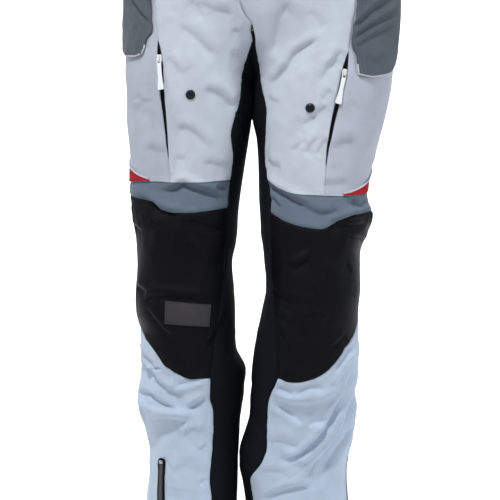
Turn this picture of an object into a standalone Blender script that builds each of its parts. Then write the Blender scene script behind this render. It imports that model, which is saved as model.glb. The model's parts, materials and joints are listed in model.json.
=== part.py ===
# Motorcycle trousers as worn, held at the waist. Metres, +Z up, front faces -Y.
# The origin is the middle of the waist opening. Each panel is a cloth wall whose
# outer side follows one surface for each leg, given by the section tables below.

import math
from bisect import bisect_right
from types import SimpleNamespace

import bmesh
import bpy
from mathutils import Matrix, Vector

# Cloth, seams and layers
WALL = 0.0018
HALF_SEAM = 0.00015
LAYER_GAP = 0.0003
COVER_GAP = 0.0008
THIN_WALL = 0.0012
TAPE_WALL = 0.0010

# Heights of the garment's level lines
WAISTBAND_BOTTOM = -0.045
HEM = -1.075
CROTCH_SEARCH = (-0.360, -0.200)

# Hips and legs join over this height, and the legs share one centre above it
JOIN_LOW, JOIN_HIGH = -0.335, -0.200
CENTRE_LOW, CENTRE_HIGH = -0.400, -0.310
THIGH_CENTRE_X = 0.098
SQUARENESS = 2.25
HIP_DEPTH_CENTRE = 0.010

# Hips: height, centre_x, half_width, front_y, back_y
HIP_ROWS = (
    (-0.340, 0.0150, 0.2040, -0.118, 0.136),
    (-0.2125, 0.0150, 0.2040, -0.119, 0.150),
    (-0.150, 0.0110, 0.1960, -0.118, 0.146),
    (-0.090, 0.0060, 0.1830, -0.113, 0.132),
    (-0.045, 0.0020, 0.1750, -0.108, 0.122),
    (0.000, 0.0000, 0.1700, -0.105, 0.117),
)

# Legs: height, outer_x, inner_x, front_y, back_y, with x from the middle plane outwards
RIGHT_LEG_ROWS = (
    (-1.0750, 0.1605, 0.0240, -0.069, 0.088),
    (-1.0300, 0.1600, 0.0240, -0.071, 0.089),
    (-0.9625, 0.1590, 0.0225, -0.075, 0.090),
    (-0.9250, 0.1560, 0.0210, -0.078, 0.090),
    (-0.8950, 0.1540, 0.0205, -0.081, 0.090),
    (-0.8575, 0.1600, 0.0186, -0.085, 0.088),
    (-0.8275, 0.1695, 0.0152, -0.089, 0.085),
    (-0.8005, 0.1725, 0.0115, -0.092, 0.082),
    (-0.7675, 0.1672, 0.0086, -0.097, 0.077),
    (-0.7300, 0.1660, 0.0233, -0.106, 0.071),
    (-0.7075, 0.1645, 0.0240, -0.110, 0.068),
    (-0.6775, 0.1720, 0.0245, -0.113, 0.066),
    (-0.6475, 0.1738, 0.0260, -0.113, 0.067),
    (-0.6055, 0.1725, 0.0287, -0.109, 0.072),
    (-0.5725, 0.1735, 0.0230, -0.106, 0.077),
    (-0.5350, 0.1785, 0.0204, -0.104, 0.083),
    (-0.4975, 0.1800, 0.0156, -0.106, 0.088),
    (-0.4525, 0.1815, 0.0090, -0.109, 0.094),
    (-0.4225, 0.1845, 0.0042, -0.112, 0.099),
    (-0.3925, 0.1865, 0.0008, -0.114, 0.104),
    (-0.3625, 0.1875, 0.0006, -0.116, 0.110),
    (-0.3025, 0.1883, 0.0006, -0.118, 0.125),
    (-0.2125, 0.1890, 0.0006, -0.118, 0.140),
    (0.0000, 0.1750, 0.0006, -0.105, 0.117),
)
LEFT_LEG_ROWS = (
    (-1.0750, 0.1450, 0.0000, -0.065, 0.092),
    (-1.0300, 0.1430, -0.0040, -0.070, 0.090),
    (-0.9625, 0.1406, -0.0100, -0.080, 0.086),
    (-0.9325, 0.1388, -0.0150, -0.085, 0.083),
    (-0.9100, 0.1395, -0.0194, -0.090, 0.080),
    (-0.8920, 0.1425, -0.0194, -0.094, 0.077),
    (-0.8575, 0.1515, -0.0105, -0.102, 0.069),
    (-0.8275, 0.1555, -0.0039, -0.110, 0.062),
    (-0.7675, 0.1560, -0.0010, -0.127, 0.048),
    (-0.7300, 0.1560, 0.0027, -0.138, 0.040),
    (-0.6775, 0.1570, 0.0135, -0.147, 0.036),
    (-0.6355, 0.1605, 0.0210, -0.147, 0.041),
    (-0.5905, 0.1610, 0.0170, -0.144, 0.051),
    (-0.5605, 0.1690, 0.0128, -0.141, 0.058),
    (-0.5350, 0.1762, 0.0116, -0.139, 0.065),
    (-0.5065, 0.1694, 0.0098, -0.137, 0.072),
    (-0.4585, 0.1775, 0.0093, -0.133, 0.083),
    (-0.4225, 0.1880, 0.0069, -0.130, 0.091),
    (-0.3925, 0.1975, 0.0008, -0.127, 0.099),
    (-0.3625, 0.2037, 0.0006, -0.124, 0.107),
    (-0.3025, 0.2115, 0.0006, -0.118, 0.125),
    (-0.2125, 0.2193, 0.0006, -0.118, 0.140),
    (0.0000, 0.1750, 0.0006, -0.105, 0.117),
)

# Fly edge: height, x. It meets the middle plane at the top of the inside leg panels
FLY_ROWS = (
    (-0.2560, 0.0000),
    (-0.2400, -0.0125),
    (-0.2220, -0.0190),
    (-0.1600, -0.0217),
    (0.0000, -0.0217),
)

# Upright seams: height, distance from the middle plane outwards
RIGHT_INNER_FRONT_SEAM = (
    (-1.0750, 0.0605),
    (-0.9535, 0.0596),
    (-0.9230, 0.0629),
    (-0.8707, 0.0579),
    (-0.8227, 0.0563),
    (-0.7984, 0.0616),
    (-0.7699, 0.0612),
    (-0.6919, 0.0506),
    (-0.6155, 0.0392),
    (-0.5221, 0.0349),
    (-0.4445, 0.0278),
    (-0.4168, 0.0306),
    (-0.3644, 0.0176),
    (-0.3278, 0.0137),
    (-0.2962, 0.0059),
    (-0.2520, 0.0002),
)
LEFT_INNER_FRONT_SEAM = (
    (-1.0750, 0.0100),
    (-0.9573, 0.0010),
    (-0.9261, -0.0030),
    (-0.8947, 0.0146),
    (-0.8691, 0.0214),
    (-0.8213, 0.0219),
    (-0.7967, 0.0254),
    (-0.7671, 0.0372),
    (-0.6894, 0.0326),
    (-0.6137, 0.0280),
    (-0.5284, 0.0258),
    (-0.4445, 0.0184),
    (-0.3791, 0.0203),
    (-0.3424, 0.0131),
    (-0.2962, 0.0077),
    (-0.2520, 0.0002),
)
RIGHT_INNER_BACK_SEAM = (
    (-1.0750, 0.0550),
    (-0.9000, 0.0520),
    (-0.7700, 0.0480),
    (-0.6600, 0.0520),
    (-0.4800, 0.0420),
    (-0.3600, 0.0320),
    (-0.3000, 0.0180),
    (-0.2520, 0.0002),
)
LEFT_INNER_BACK_SEAM = (
    (-1.0750, 0.0300),
    (-0.9000, 0.0120),
    (-0.7700, 0.0280),
    (-0.6600, 0.0420),
    (-0.4800, 0.0400),
    (-0.3600, 0.0320),
    (-0.3000, 0.0180),
    (-0.2520, 0.0002),
)
RIGHT_ZIP_LINE = (
    (-1.0750, 0.1345),
    (-0.8923, 0.1339),
    (-0.7706, 0.1199),
    (-0.6421, 0.1170),
    (-0.5264, 0.1176),
    (-0.4819, 0.1189),
    (-0.4515, 0.1213),
    (-0.2783, 0.1360),
    (-0.2196, 0.1410),
    (-0.1300, 0.1325),
    (-0.0450, 0.1225),
)
LEFT_ZIP_LINE = (
    (-1.0750, 0.0950),
    (-0.8882, 0.0878),
    (-0.7667, 0.0953),
    (-0.6396, 0.1002),
    (-0.5538, 0.1021),
    (-0.5014, 0.1041),
    (-0.4613, 0.1061),
    (-0.2959, 0.1390),
    (-0.2203, 0.1504),
    (-0.1300, 0.1420),
    (-0.0450, 0.1280),
)
OUTER_SEAM_ANGLE = 105.0

# Cross seams: distance from the middle plane, height; then the heights round the rest
RIGHT_THIGH_LINE = SimpleNamespace(
    front=((0.0337, -0.4810), (0.0754, -0.4834), (0.1014, -0.4838), (0.1500, -0.4827)),
    outer=-0.4850, back=-0.4840, inner=-0.4810)
LEFT_THIGH_LINE = SimpleNamespace(
    front=((0.0222, -0.4807), (0.0412, -0.4932), (0.0636, -0.5000), (0.1041, -0.5022), (0.1319, -0.5031)),
    outer=-0.4955, back=-0.4840, inner=-0.4807)
RIGHT_BAND_LINE = SimpleNamespace(
    front=((0.0349, -0.5221), (0.0857, -0.5275), (0.1138, -0.5284), (0.1337, -0.5242), (0.1494, -0.5128)),
    outer=-0.5040, back=-0.5110, inner=-0.5221)
LEFT_BAND_LINE = SimpleNamespace(
    front=((0.0254, -0.5285), (0.0496, -0.5405), (0.0707, -0.5464), (0.0993, -0.5500), (0.1269, -0.5382),
           (0.1516, -0.5299)),
    outer=-0.5260, back=-0.5240, inner=-0.5285)
RIGHT_KNEE_LINE = SimpleNamespace(
    front=((0.0612, -0.7699), (0.0891, -0.7722), (0.1016, -0.7676), (0.1257, -0.7523), (0.1404, -0.7351),
           (0.1527, -0.7203)),
    outer=-0.6990, back=-0.7280, inner=-0.7699)
LEFT_KNEE_LINE = SimpleNamespace(
    front=((0.0376, -0.7676), (0.0520, -0.7724), (0.0650, -0.7736), (0.0832, -0.7705), (0.1040, -0.7604),
           (0.1243, -0.7412), (0.1377, -0.7224)),
    outer=-0.6850, back=-0.7280, inner=-0.7676)

# Rows of points from line to line, as shares of the height between them
THIGH_SHARES = (0.0, 0.07, 0.14, 0.21, 0.28, 0.35, 0.42, 0.484, 0.535, 0.585, 0.645, 0.71, 0.78, 0.85, 0.925)
INNER_PANEL_TOP_ROW = 7
CROTCH_FOOT_ROW = 11
BAND_SHARES = (0.0, 0.5)
KNEE_SHARES = (0.0, 0.10, 0.21, 0.32, 0.43, 0.54, 0.65, 0.76, 0.88)
SHIN_SHARES = (0.0, 0.04, 0.085, 0.13, 0.175, 0.22, 0.265, 0.31, 0.355, 0.40, 0.45, 0.51, 0.60, 0.72, 0.86, 1.0)
FRONT_COLUMNS = 8
POCKET_COLUMNS = 5
BACK_COLUMNS = 8
INNER_COLUMNS = 6

# Largest folds: three points as distance from the middle plane and height, half width, depth
RIGHT_FOLDS = (
    (0.1640, -0.8100, 0.1275, -0.8150, 0.0585, -0.8235, 0.0085, 0.0050),
    (0.1685, -0.8370, 0.1225, -0.8345, 0.0910, -0.8345, 0.0110, -0.0045),
    (0.1645, -0.7550, 0.1365, -0.7665, 0.0890, -0.7960, 0.0090, -0.0040),
    (0.1675, -0.7950, 0.1275, -0.8025, 0.1040, -0.8140, 0.0080, -0.0035),
    (0.0910, -0.8130, 0.0760, -0.8060, 0.0645, -0.8015, 0.0080, -0.0035),
    (0.1415, -0.8425, 0.1465, -0.8645, 0.1440, -0.8795, 0.0150, -0.0040),
    (0.1040, -0.2590, 0.0850, -0.2760, 0.0505, -0.3030, 0.0120, -0.0030),
    (0.0735, -0.3505, 0.0505, -0.3590, 0.0335, -0.3735, 0.0120, -0.0035),
    (0.1250, -0.4965, 0.1015, -0.4850, 0.0755, -0.4965, 0.0090, -0.0030),
)
LEFT_FOLDS = (
    (0.0275, -0.7905, 0.0650, -0.7960, 0.1310, -0.7740, 0.0090, 0.0055),
    (0.0390, -0.7835, 0.0650, -0.7900, 0.0855, -0.7830, 0.0080, -0.0035),
    (0.1390, -0.7905, 0.1080, -0.8395, 0.0715, -0.8825, 0.0090, -0.0065),
    (0.1435, -0.8035, 0.1215, -0.8465, 0.0875, -0.8785, 0.0080, 0.0045),
    (0.1450, -0.8270, 0.1320, -0.8495, 0.1055, -0.8810, 0.0100, -0.0060),
    (0.0715, -0.8825, 0.0545, -0.8870, 0.0380, -0.8890, 0.0080, -0.0040),
    (0.0290, -0.8695, 0.0505, -0.8705, 0.0700, -0.8705, 0.0090, -0.0040),
    (0.0865, -0.9395, 0.0705, -0.9275, 0.0545, -0.9055, 0.0120, -0.0040),
    (0.0615, -0.2240, 0.0400, -0.2575, 0.0290, -0.2900, 0.0130, -0.0055),
    (0.1055, -0.2715, 0.0605, -0.2990, 0.0260, -0.3470, 0.0110, -0.0030),
    (0.0245, -0.4880, 0.0480, -0.5000, 0.0730, -0.5170, 0.0090, -0.0030),
)
FOLD_ARC_RADIUS = 0.085

# Thigh zip: opening from top to bottom, slider height, widest opening
RIGHT_THIGH_ZIP = SimpleNamespace(top=-0.2785, bottom=-0.4515, slider=-0.3050, open_width=0.0078)
LEFT_THIGH_ZIP = SimpleNamespace(top=-0.2960, bottom=-0.4615, slider=-0.3260, open_width=0.0087)
THIGH_TAPE_MARGIN = 0.0060
THIGH_TAPE_ROWS = (7.5, 8, 9, 10, 11, 12, 13, 14, 14.5)
SLIDER_PLAY = 0.0005

# Hem zip: it runs down one column of the shin panel's points
HEM_ZIP_TOP = -0.8925
HEM_ZIP_SLIDER = -1.0450
HEM_TAPE_WIDTH = 0.0120
HEM_STOP_DROP = 0.0060

# Slider, bridge and pull, in the slider's own frame
SLIDER_WIDTH, SLIDER_LENGTH, SLIDER_HEIGHT = 0.0062, 0.0110, 0.0030
SLIDER_EDGE = 0.0010
BRIDGE_SUNK = 0.0006
BRIDGE_WIDTH, BRIDGE_LENGTH, BRIDGE_CLEAR, BRIDGE_BAR = 0.0024, 0.0096, 0.0030, 0.0014
BRIDGE_POST = 0.0016
PULL_BAR_RADIUS = 0.00085
PULL_ARM = 0.0014
PULL_WINDOW_HALF_WIDTH = 0.0018
PULL_WINDOW_LENGTH = 0.0075
PULL_THICKNESS = 0.0016
PULL_NECK, PULL_FLARE, PULL_CORNER = 0.0040, 0.0060, 0.0015
STOP_SIZE = (0.0050, 0.0016, 0.0050)
THIGH_PULL_LENGTH, THIGH_PULL_END_WIDTH = 0.0470, 0.0074
HEM_PULL_LENGTH, HEM_PULL_END_WIDTH = 0.0200, 0.0066

# Snaps and button
SNAP_RADIUS, SNAP_HEIGHT = 0.0069, 0.0022
RIGHT_SNAP = (0.0887, -0.3575)
LEFT_SNAP = (0.0838, -0.3772)
BUTTON_RADIUS, BUTTON_HEIGHT, BUTTON_X = 0.0085, 0.0030, -0.0050
ROUND_SIDES = 20

# Hip flap: front edge and lower edge, as height and distance, or distance and height
RIGHT_FLAP = SimpleNamespace(
    front=((-0.3015, 0.1527), (-0.2850, 0.1499), (-0.2650, 0.1426), (-0.2195, 0.1445), (-0.1300, 0.1365),
           (-0.0470, 0.1265)),
    bottom=((0.0, -0.3000), (0.35, -0.3040), (0.7, -0.2990), (1.0, -0.2890)), back_angle=97.0)
LEFT_FLAP = SimpleNamespace(
    front=((-0.3280, 0.1528), (-0.3015, 0.1515), (-0.2845, 0.1442), (-0.2200, 0.1538), (-0.1310, 0.1457),
           (-0.0470, 0.1320)),
    bottom=((0.0, -0.3270), (0.35, -0.3265), (0.6, -0.3220), (1.0, -0.2910)), back_angle=97.0)
FLAP_TOP = -0.0475
FLAP_ROWS = 9
FLAP_COLUMNS = 8
FLAP_LIFT = 0.0022
PIPING_HEIGHT = 0.0030
PIPING_WALL = 0.0024

# Red inserts: where the point is, how high they rise at the outer seam
RIGHT_RED = SimpleNamespace(point_x=0.1500, rise=0.0320, gap=0.0005)
LEFT_RED = SimpleNamespace(point_x=0.1320, rise=0.0270, gap=0.0014)
RED_POINT_HEIGHT = 0.0020
RED_COLUMNS = 10

# Knee patch on the right knee: corners as distance from the middle plane and height
PATCH_TOP = ((0.1265, -0.6555), (0.0600, -0.6615))
PATCH_BOTTOM = ((0.1265, -0.6890), (0.0625, -0.6935))
PATCH_COLUMNS, PATCH_ROWS = 6, 3

WAISTBAND_COLUMNS = 48
WAISTBAND_WALL = 2 * WALL
FINE_STEP = 0.0015


def clear_scene():
    for old in list(bpy.data.objects):
        bpy.data.objects.remove(old, do_unlink=True)


def smooth_curve(points):
    """Monotone cubic through (position, value) points given in rising order."""
    places = [point[0] for point in points]
    values = [point[1] for point in points]
    gaps = [after - before for before, after in zip(places, places[1:])]
    slopes = [(after - before) / gap for before, after, gap in zip(values, values[1:], gaps)]
    tangents = [slopes[0]]
    for left, right in zip(slopes, slopes[1:]):
        tangents.append(0.0 if left * right <= 0 else 2 * left * right / (left + right))
    tangents.append(slopes[-1])

    def value(place):
        place = min(max(place, places[0]), places[-1])
        index = min(bisect_right(places, place) - 1, len(gaps) - 1)
        gap = gaps[index]
        t = (place - places[index]) / gap
        rise = values[index + 1] - values[index]
        start_bend = gap * tangents[index] - rise
        end_bend = rise - gap * tangents[index + 1]
        return values[index] + t * rise + t * (1 - t) * ((1 - t) * start_bend + t * end_bend)

    return value


def column_curve(rows, column):
    return smooth_curve([(row[0], row[column]) for row in rows])


def smooth_step(low, high, value):
    share = min(max((value - low) / (high - low), 0.0), 1.0)
    return share * share * (3 - 2 * share)


def blend(start, end, share):
    return start + (end - start) * share


HIP = SimpleNamespace(
    centre=column_curve(HIP_ROWS, 1), half_width=column_curve(HIP_ROWS, 2),
    front=column_curve(HIP_ROWS, 3), back=column_curve(HIP_ROWS, 4))
FLY_X = smooth_curve(FLY_ROWS)


def solve(function, low, high, steps=34):
    """Place between low and high where a function that changes sign is zero."""
    low_sign = function(low) > 0
    for _ in range(steps):
        middle = (low + high) / 2
        if (function(middle) > 0) == low_sign:
            low = middle
        else:
            high = middle
    return (low + high) / 2


def leg_centre(leg, z):
    middle = (leg.outer(z) + leg.inner(z)) / 2
    x = blend(middle, THIGH_CENTRE_X, smooth_step(CENTRE_LOW, CENTRE_HIGH, z))
    return x, (leg.front(z) + leg.back(z)) / 2


def leg_radius(leg, sine, cosine, z):
    centre_x, centre_y = leg_centre(leg, z)
    width = leg.outer(z) - centre_x if sine > 0 else centre_x - leg.inner(z)
    depth = centre_y - leg.front(z)
    spread = abs(sine / width) ** SQUARENESS + abs(cosine / depth) ** SQUARENESS
    return spread ** (-1 / SQUARENESS)


def hip_radius(leg, sine, cosine, z):
    centre_x, centre_y = leg_centre(leg, z)
    hip_x, half_width = HIP.centre(z), HIP.half_width(z)
    front, back = HIP_DEPTH_CENTRE - HIP.front(z), HIP.back(z) - HIP_DEPTH_CENTRE

    def outside(radius):
        x = leg.side * (centre_x + radius * sine) - hip_x
        y = centre_y - radius * cosine - HIP_DEPTH_CENTRE
        depth = back if y > 0 else front
        return abs(x / half_width) ** SQUARENESS + abs(y / depth) ** SQUARENESS - 1

    return solve(outside, 0.0, 0.6)


def fold_height(leg, angle, z):
    """How far the cloth stands out of, or sinks into, the smooth leg."""
    arc = math.radians(angle) * FOLD_ARC_RADIUS
    height = 0.0
    for fold in leg.folds:
        height += fold.depth * math.exp(-(distance_to_path(arc, z, fold.path) / fold.half_width) ** 2)
    return height


def distance_to_path(x, y, path):
    nearest = math.inf
    for (x1, y1), (x2, y2) in zip(path, path[1:]):
        run, rise = x2 - x1, y2 - y1
        share = ((x - x1) * run + (y - y1) * rise) / (run * run + rise * rise)
        share = min(max(share, 0.0), 1.0)
        nearest = min(nearest, math.hypot(x - x1 - share * run, y - y1 - share * rise))
    return nearest


def surface(leg, angle, z):
    """Point of a leg's outer side. The angle runs from the front, 0, over the outer side, 90."""
    sine, cosine = math.sin(math.radians(angle)), math.cos(math.radians(angle))
    centre_x, centre_y = leg_centre(leg, z)
    radius = leg_radius(leg, sine, cosine, z)
    share = smooth_step(JOIN_LOW, JOIN_HIGH, z)
    if share > 0:
        radius = blend(radius, hip_radius(leg, sine, cosine, z), share)
    wrapped = (angle + 180) % 360 - 180
    radius += fold_height(leg, wrapped, z)
    return Vector((leg.side * (centre_x + radius * sine), centre_y - radius * cosine, z))


def surface_normal(leg, angle, z):
    step = math.degrees(FINE_STEP / FOLD_ARC_RADIUS)
    across = surface(leg, angle + step, z) - surface(leg, angle - step, z)
    up = surface(leg, angle, z + FINE_STEP) - surface(leg, angle, z - FINE_STEP)
    return (across.cross(up) * leg.side).normalized()


def angle_at(leg, distance, z, behind=False):
    """Angle where the leg's front, or back, is this far from the middle plane."""
    def beyond(angle):
        return leg.side * surface(leg, angle, z).x - distance
    return solve(beyond, 268.0, 92.0) if behind else solve(beyond, -88.0, 88.0)


def crotch_height(leg, angle):
    def past_middle(z):
        return HALF_SEAM - leg.side * surface(leg, angle, z).x
    return solve(past_middle, *CROTCH_SEARCH)


def seam_curve(leg, line):
    """Height of a cross seam at any angle, from its front points and the heights round it."""
    knots = [(-90.0, line.inner)]
    knots += [(angle_at(leg, distance, height), height) for distance, height in line.front]
    knots += [(90.0, line.outer), (180.0, line.back), (270.0, line.inner)]
    curve = smooth_curve(knots)
    return lambda angle: curve(angle - 360 if angle > 270 else angle)


def make_leg(name, side, rows, seams, lines, folds, details):
    leg = SimpleNamespace(name=name, side=side, folds=(), walls={})
    leg.outer, leg.inner = column_curve(rows, 1), column_curve(rows, 2)
    leg.front, leg.back = column_curve(rows, 3), column_curve(rows, 4)
    leg.inner_front, leg.inner_back, leg.zip_line = [smooth_curve(seam) for seam in seams]
    leg.thigh_line, leg.band_line, leg.knee_line = [seam_curve(leg, line) for line in lines]
    leg.details = details
    made = []
    for x1, z1, x2, z2, x3, z3, half_width, depth in folds:
        path = []
        for distance, height in ((x1, z1), (x2, z2), (x3, z3)):
            path.append((math.radians(angle_at(leg, distance, height)) * FOLD_ARC_RADIUS, height))
        made.append(SimpleNamespace(path=path, half_width=half_width, depth=depth))
    leg.folds = tuple(made)
    leg.row_heights = row_heights(leg)
    return leg


def row_heights(leg):
    """One function of angle for each row of points, from the waistband to the hem."""
    rows = []
    sections = (
        (lambda angle: WAISTBAND_BOTTOM, leg.thigh_line, THIGH_SHARES),
        (leg.thigh_line, leg.band_line, BAND_SHARES),
        (leg.band_line, leg.knee_line, KNEE_SHARES),
        (leg.knee_line, lambda angle: HEM, SHIN_SHARES),
    )
    for upper, lower, shares in sections:
        for share in shares:
            rows.append(lambda angle, u=upper, l=lower, s=share: blend(u(angle), l(angle), s))
    return rows


THIGH_ROW = len(THIGH_SHARES)
BAND_ROW = THIGH_ROW + len(BAND_SHARES)
KNEE_ROW = BAND_ROW + len(KNEE_SHARES)
HEM_ROW = KNEE_ROW + len(SHIN_SHARES) - 1


def zip_opening(leg, z):
    """Width of the thigh zip's opening, widest by the slider and closed at both ends."""
    zipper = leg.details.thigh_zip
    if not zipper.bottom < z < zipper.top:
        return 0.0
    slider = zipper.slider
    if z > slider:
        share = (zipper.top - z) / (zipper.top - slider)
    else:
        share = (z - zipper.bottom) / (slider - zipper.bottom)
    return zipper.open_width * min(1.0, 1.1 * share) ** 0.8


def seam_angle(leg, seam, z):
    """Angle of an upright seam at a height. A seam has a left and a right cloth edge."""
    if seam == "outer":
        return OUTER_SEAM_ANGLE
    if seam == "zip":
        return angle_at(leg, leg.zip_line(z), z)
    if seam == "inner_front":
        return angle_at(leg, leg.inner_front(z), z)
    if seam == "inner_back":
        return angle_at(leg, leg.inner_back(z), z, behind=True)
    if seam == "fly":
        return angle_at(leg, leg.side * FLY_X(z) + HALF_SEAM, z)
    return angle_at(leg, HALF_SEAM, z, behind=True)


SEAM_START_ANGLES = {"outer": OUTER_SEAM_ANGLE, "zip": 25.0, "inner_front": -50.0, "fly": -50.0,
                     "inner_back": 235.0, "centre_back": 235.0}


def seam_spot(leg, seam, row):
    """Angle and height where a seam crosses a row."""
    angle = SEAM_START_ANGLES[seam]
    for _ in range(4):
        z = leg.row_heights[row](angle)
        angle = seam_angle(leg, seam, z)
    return angle, leg.row_heights[row](angle)


def arc_degrees(leg, angle, z, length):
    here = surface(leg, angle, z)
    beside = surface(leg, angle + 1.0, z)
    return length / (beside - here).length


def edge_spots(leg, row, seam, shift):
    """Seam spot moved along its row by a signed length."""
    angle, z = seam_spot(leg, seam, row)
    if seam in ("fly", "centre_back"):
        return angle, z
    if seam == "zip":
        opening = zip_opening(leg, z) / 2
        shift += math.copysign(opening, shift)
    return angle + arc_degrees(leg, angle, z, shift), z


def panel_rows(leg, first, last, seams, columns):
    """Grid of (angle, height) spots between two or more upright seams."""
    grid = []
    for row in range(first, last + 1):
        edge_seams = [seam(row) if callable(seam) else seam for seam in seams]
        edges = []
        for index, seam in enumerate(edge_seams):
            if index == 0:
                edges.append(edge_spots(leg, row, seam, HALF_SEAM)[0])
            elif index == len(edge_seams) - 1:
                edges.append(edge_spots(leg, row, seam, -HALF_SEAM)[0])
            else:
                edges.append(seam_spot(leg, seam, row)[0])
        angles = [edges[0]]
        for start, end, count in zip(edges, edges[1:], columns):
            angles += [blend(start, end, step / count) for step in range(1, count + 1)]
        trim = -HALF_SEAM if row == first else HALF_SEAM if row == last and row != HEM_ROW else 0.0
        grid.append([(angle, leg.row_heights[row](angle) + trim) for angle in angles])
    return grid


def cloth(leg, name, grid, finish, lift=0.0, wall=WALL):
    """Closed wall through a grid of spots. Its outer side is lift above the leg's surface."""
    outer, inner = [], []
    for row_index, row in enumerate(grid):
        row_lift = lift(row_index / (len(grid) - 1)) if callable(lift) else lift
        for angle, z in row:
            point = surface(leg, angle, z)
            normal = surface_normal(leg, angle, z)
            outer.append(point + normal * row_lift)
            inner.append(point + normal * (row_lift - wall))
    leg.walls[name] = SimpleNamespace(outer=outer, inner=inner, columns=len(grid[0]))
    return wall_object(name, outer, inner, len(grid), len(grid[0]), finish, leg.side < 0)


def wall_point(wall, row, column):
    """Point of a wall's outer side and the way out of it, between rows and columns too."""
    upper, left = math.floor(row), math.floor(column)
    lower = min(upper + 1, len(wall.outer) // wall.columns - 1)
    right = min(left + 1, wall.columns - 1)
    sides = []
    for points in (wall.outer, wall.inner):
        rows = [points[line * wall.columns + left].lerp(points[line * wall.columns + right], column - left)
                for line in (upper, lower)]
        sides.append(rows[0].lerp(rows[1], row - upper))
    return sides[0], (sides[0] - sides[1]).normalized()


def strip_on_walls(leg, name, spots, columns, lift, thickness, finish):
    """Thin wall that follows the facets under it. Spots are (wall, row, column)."""
    outer, inner = [], []
    for wall, row, column in spots:
        point, out = wall_point(wall, row, column)
        outer.append(point + out * lift)
        inner.append(point + out * (lift - thickness))
    return wall_object(name, outer, inner, len(spots) // columns, columns, finish, leg.side < 0)


def wall_object(name, outer, inner, rows, columns, finish, flip):
    """Two grids of points joined round the edge. Rows run down and columns to the outer side."""
    mesh = bpy.data.meshes.new(name)
    layer = rows * columns
    faces = []
    for row in range(rows - 1):
        for column in range(columns - 1):
            a = row * columns + column
            b, c, d = a + 1, a + columns + 1, a + columns
            faces.append((a, d, c, b))
            faces.append((layer + a, layer + b, layer + c, layer + d))
    rim = [column for column in range(columns)]
    rim += [row * columns + columns - 1 for row in range(1, rows)]
    rim += [(rows - 1) * columns + column for column in range(columns - 2, -1, -1)]
    rim += [row * columns for row in range(rows - 2, 0, -1)]
    for here, after in zip(rim, rim[1:] + rim[:1]):
        if rim_order(outer[here]) > rim_order(outer[after]):
            faces.append((here, after, layer + after))
            faces.append((here, layer + after, layer + here))
        else:
            faces.append((here, after, layer + here))
            faces.append((after, layer + after, layer + here))
    if flip:
        faces = [face[::-1] for face in faces]
    mesh.from_pydata([tuple(point) for point in outer + inner], [], faces)
    mesh.materials.append(finish)
    mesh.shade_smooth()
    mesh.set_sharp_from_angle(angle=math.radians(50))
    made = bpy.data.objects.new(name, mesh)
    bpy.context.collection.objects.link(made)
    return made


def rim_order(point):
    """Orders the ends of a rim edge alike on both sides of a seam, so both rims split alike."""
    return point.z + 0.37 * point.x + 0.11 * point.y


def material(name, colour, roughness, metallic=0.0):
    made = bpy.data.materials.new(name)
    made.use_nodes = True
    shader = made.node_tree.nodes["Principled BSDF"]
    shader.inputs["Base Color"].default_value = (*colour, 1.0)
    shader.inputs["Roughness"].default_value = roughness
    shader.inputs["Metallic"].default_value = metallic
    return made


def make_materials():
    return SimpleNamespace(
        light=material("light_grey_cloth", (0.52, 0.59, 0.66), 0.80),
        side=material("mauve_grey_cloth", (0.41, 0.42, 0.50), 0.80),
        shin=material("pale_blue_grey_cloth", (0.47, 0.56, 0.68), 0.80),
        grey=material("mid_grey_cloth", (0.105, 0.135, 0.165), 0.85),
        band=material("slate_grey_cloth", (0.125, 0.165, 0.22), 0.80),
        stretch=material("black_stretch_cloth", (0.008, 0.009, 0.011), 0.85),
        knee=material("black_knee_cloth", (0.009, 0.010, 0.013), 0.70),
        patch=material("dark_grey_patch", (0.050, 0.048, 0.056), 0.45),
        red=material("red_cloth", (0.42, 0.030, 0.045), 0.75),
        piping=material("pale_piping", (0.62, 0.65, 0.68), 0.60),
        tape=material("black_zip_tape", (0.012, 0.013, 0.015), 0.80),
        metal=material("zip_metal", (0.45, 0.46, 0.48), 0.35, 1.0),
        pull=material("white_pull", (0.80, 0.82, 0.84), 0.45),
        snap=material("black_snap", (0.012, 0.018, 0.026), 0.35))


def inner_edge(row):
    return "fly" if row < INNER_PANEL_TOP_ROW else "inner_front"


def back_edge(row):
    return "centre_back" if row < INNER_PANEL_TOP_ROW else "inner_back"


def front_thigh(leg, cloths):
    grid = panel_rows(leg, 0, THIGH_ROW, (inner_edge, "zip"), (FRONT_COLUMNS,))
    return cloth(leg, f"{leg.name}_front_thigh", grid, cloths.light)


def pocket_panel(leg, cloths):
    grid = panel_rows(leg, 0, THIGH_ROW, ("zip", "outer"), (POCKET_COLUMNS,))
    return cloth(leg, f"{leg.name}_pocket_panel", grid, cloths.side)


def lower_panels(leg, cloths):
    """Band above the knee, knee and shin, which all run from the inner to the outer seam."""
    bounds = ("inner_front", "zip", "outer")
    columns = (FRONT_COLUMNS, POCKET_COLUMNS)
    pieces = (
        ("knee_band", THIGH_ROW, BAND_ROW, cloths.band),
        ("knee_panel", BAND_ROW, KNEE_ROW, cloths.knee),
        ("shin_panel", KNEE_ROW, HEM_ROW, cloths.shin),
    )
    for name, first, last, finish in pieces:
        grid = panel_rows(leg, first, last, bounds, columns)
        cloth(leg, f"{leg.name}_{name}", grid, finish)


def back_panel(leg, cloths):
    grid = panel_rows(leg, 0, HEM_ROW, ("outer", back_edge), (BACK_COLUMNS,))
    return cloth(leg, f"{leg.name}_back_panel", grid, cloths.light)


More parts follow.
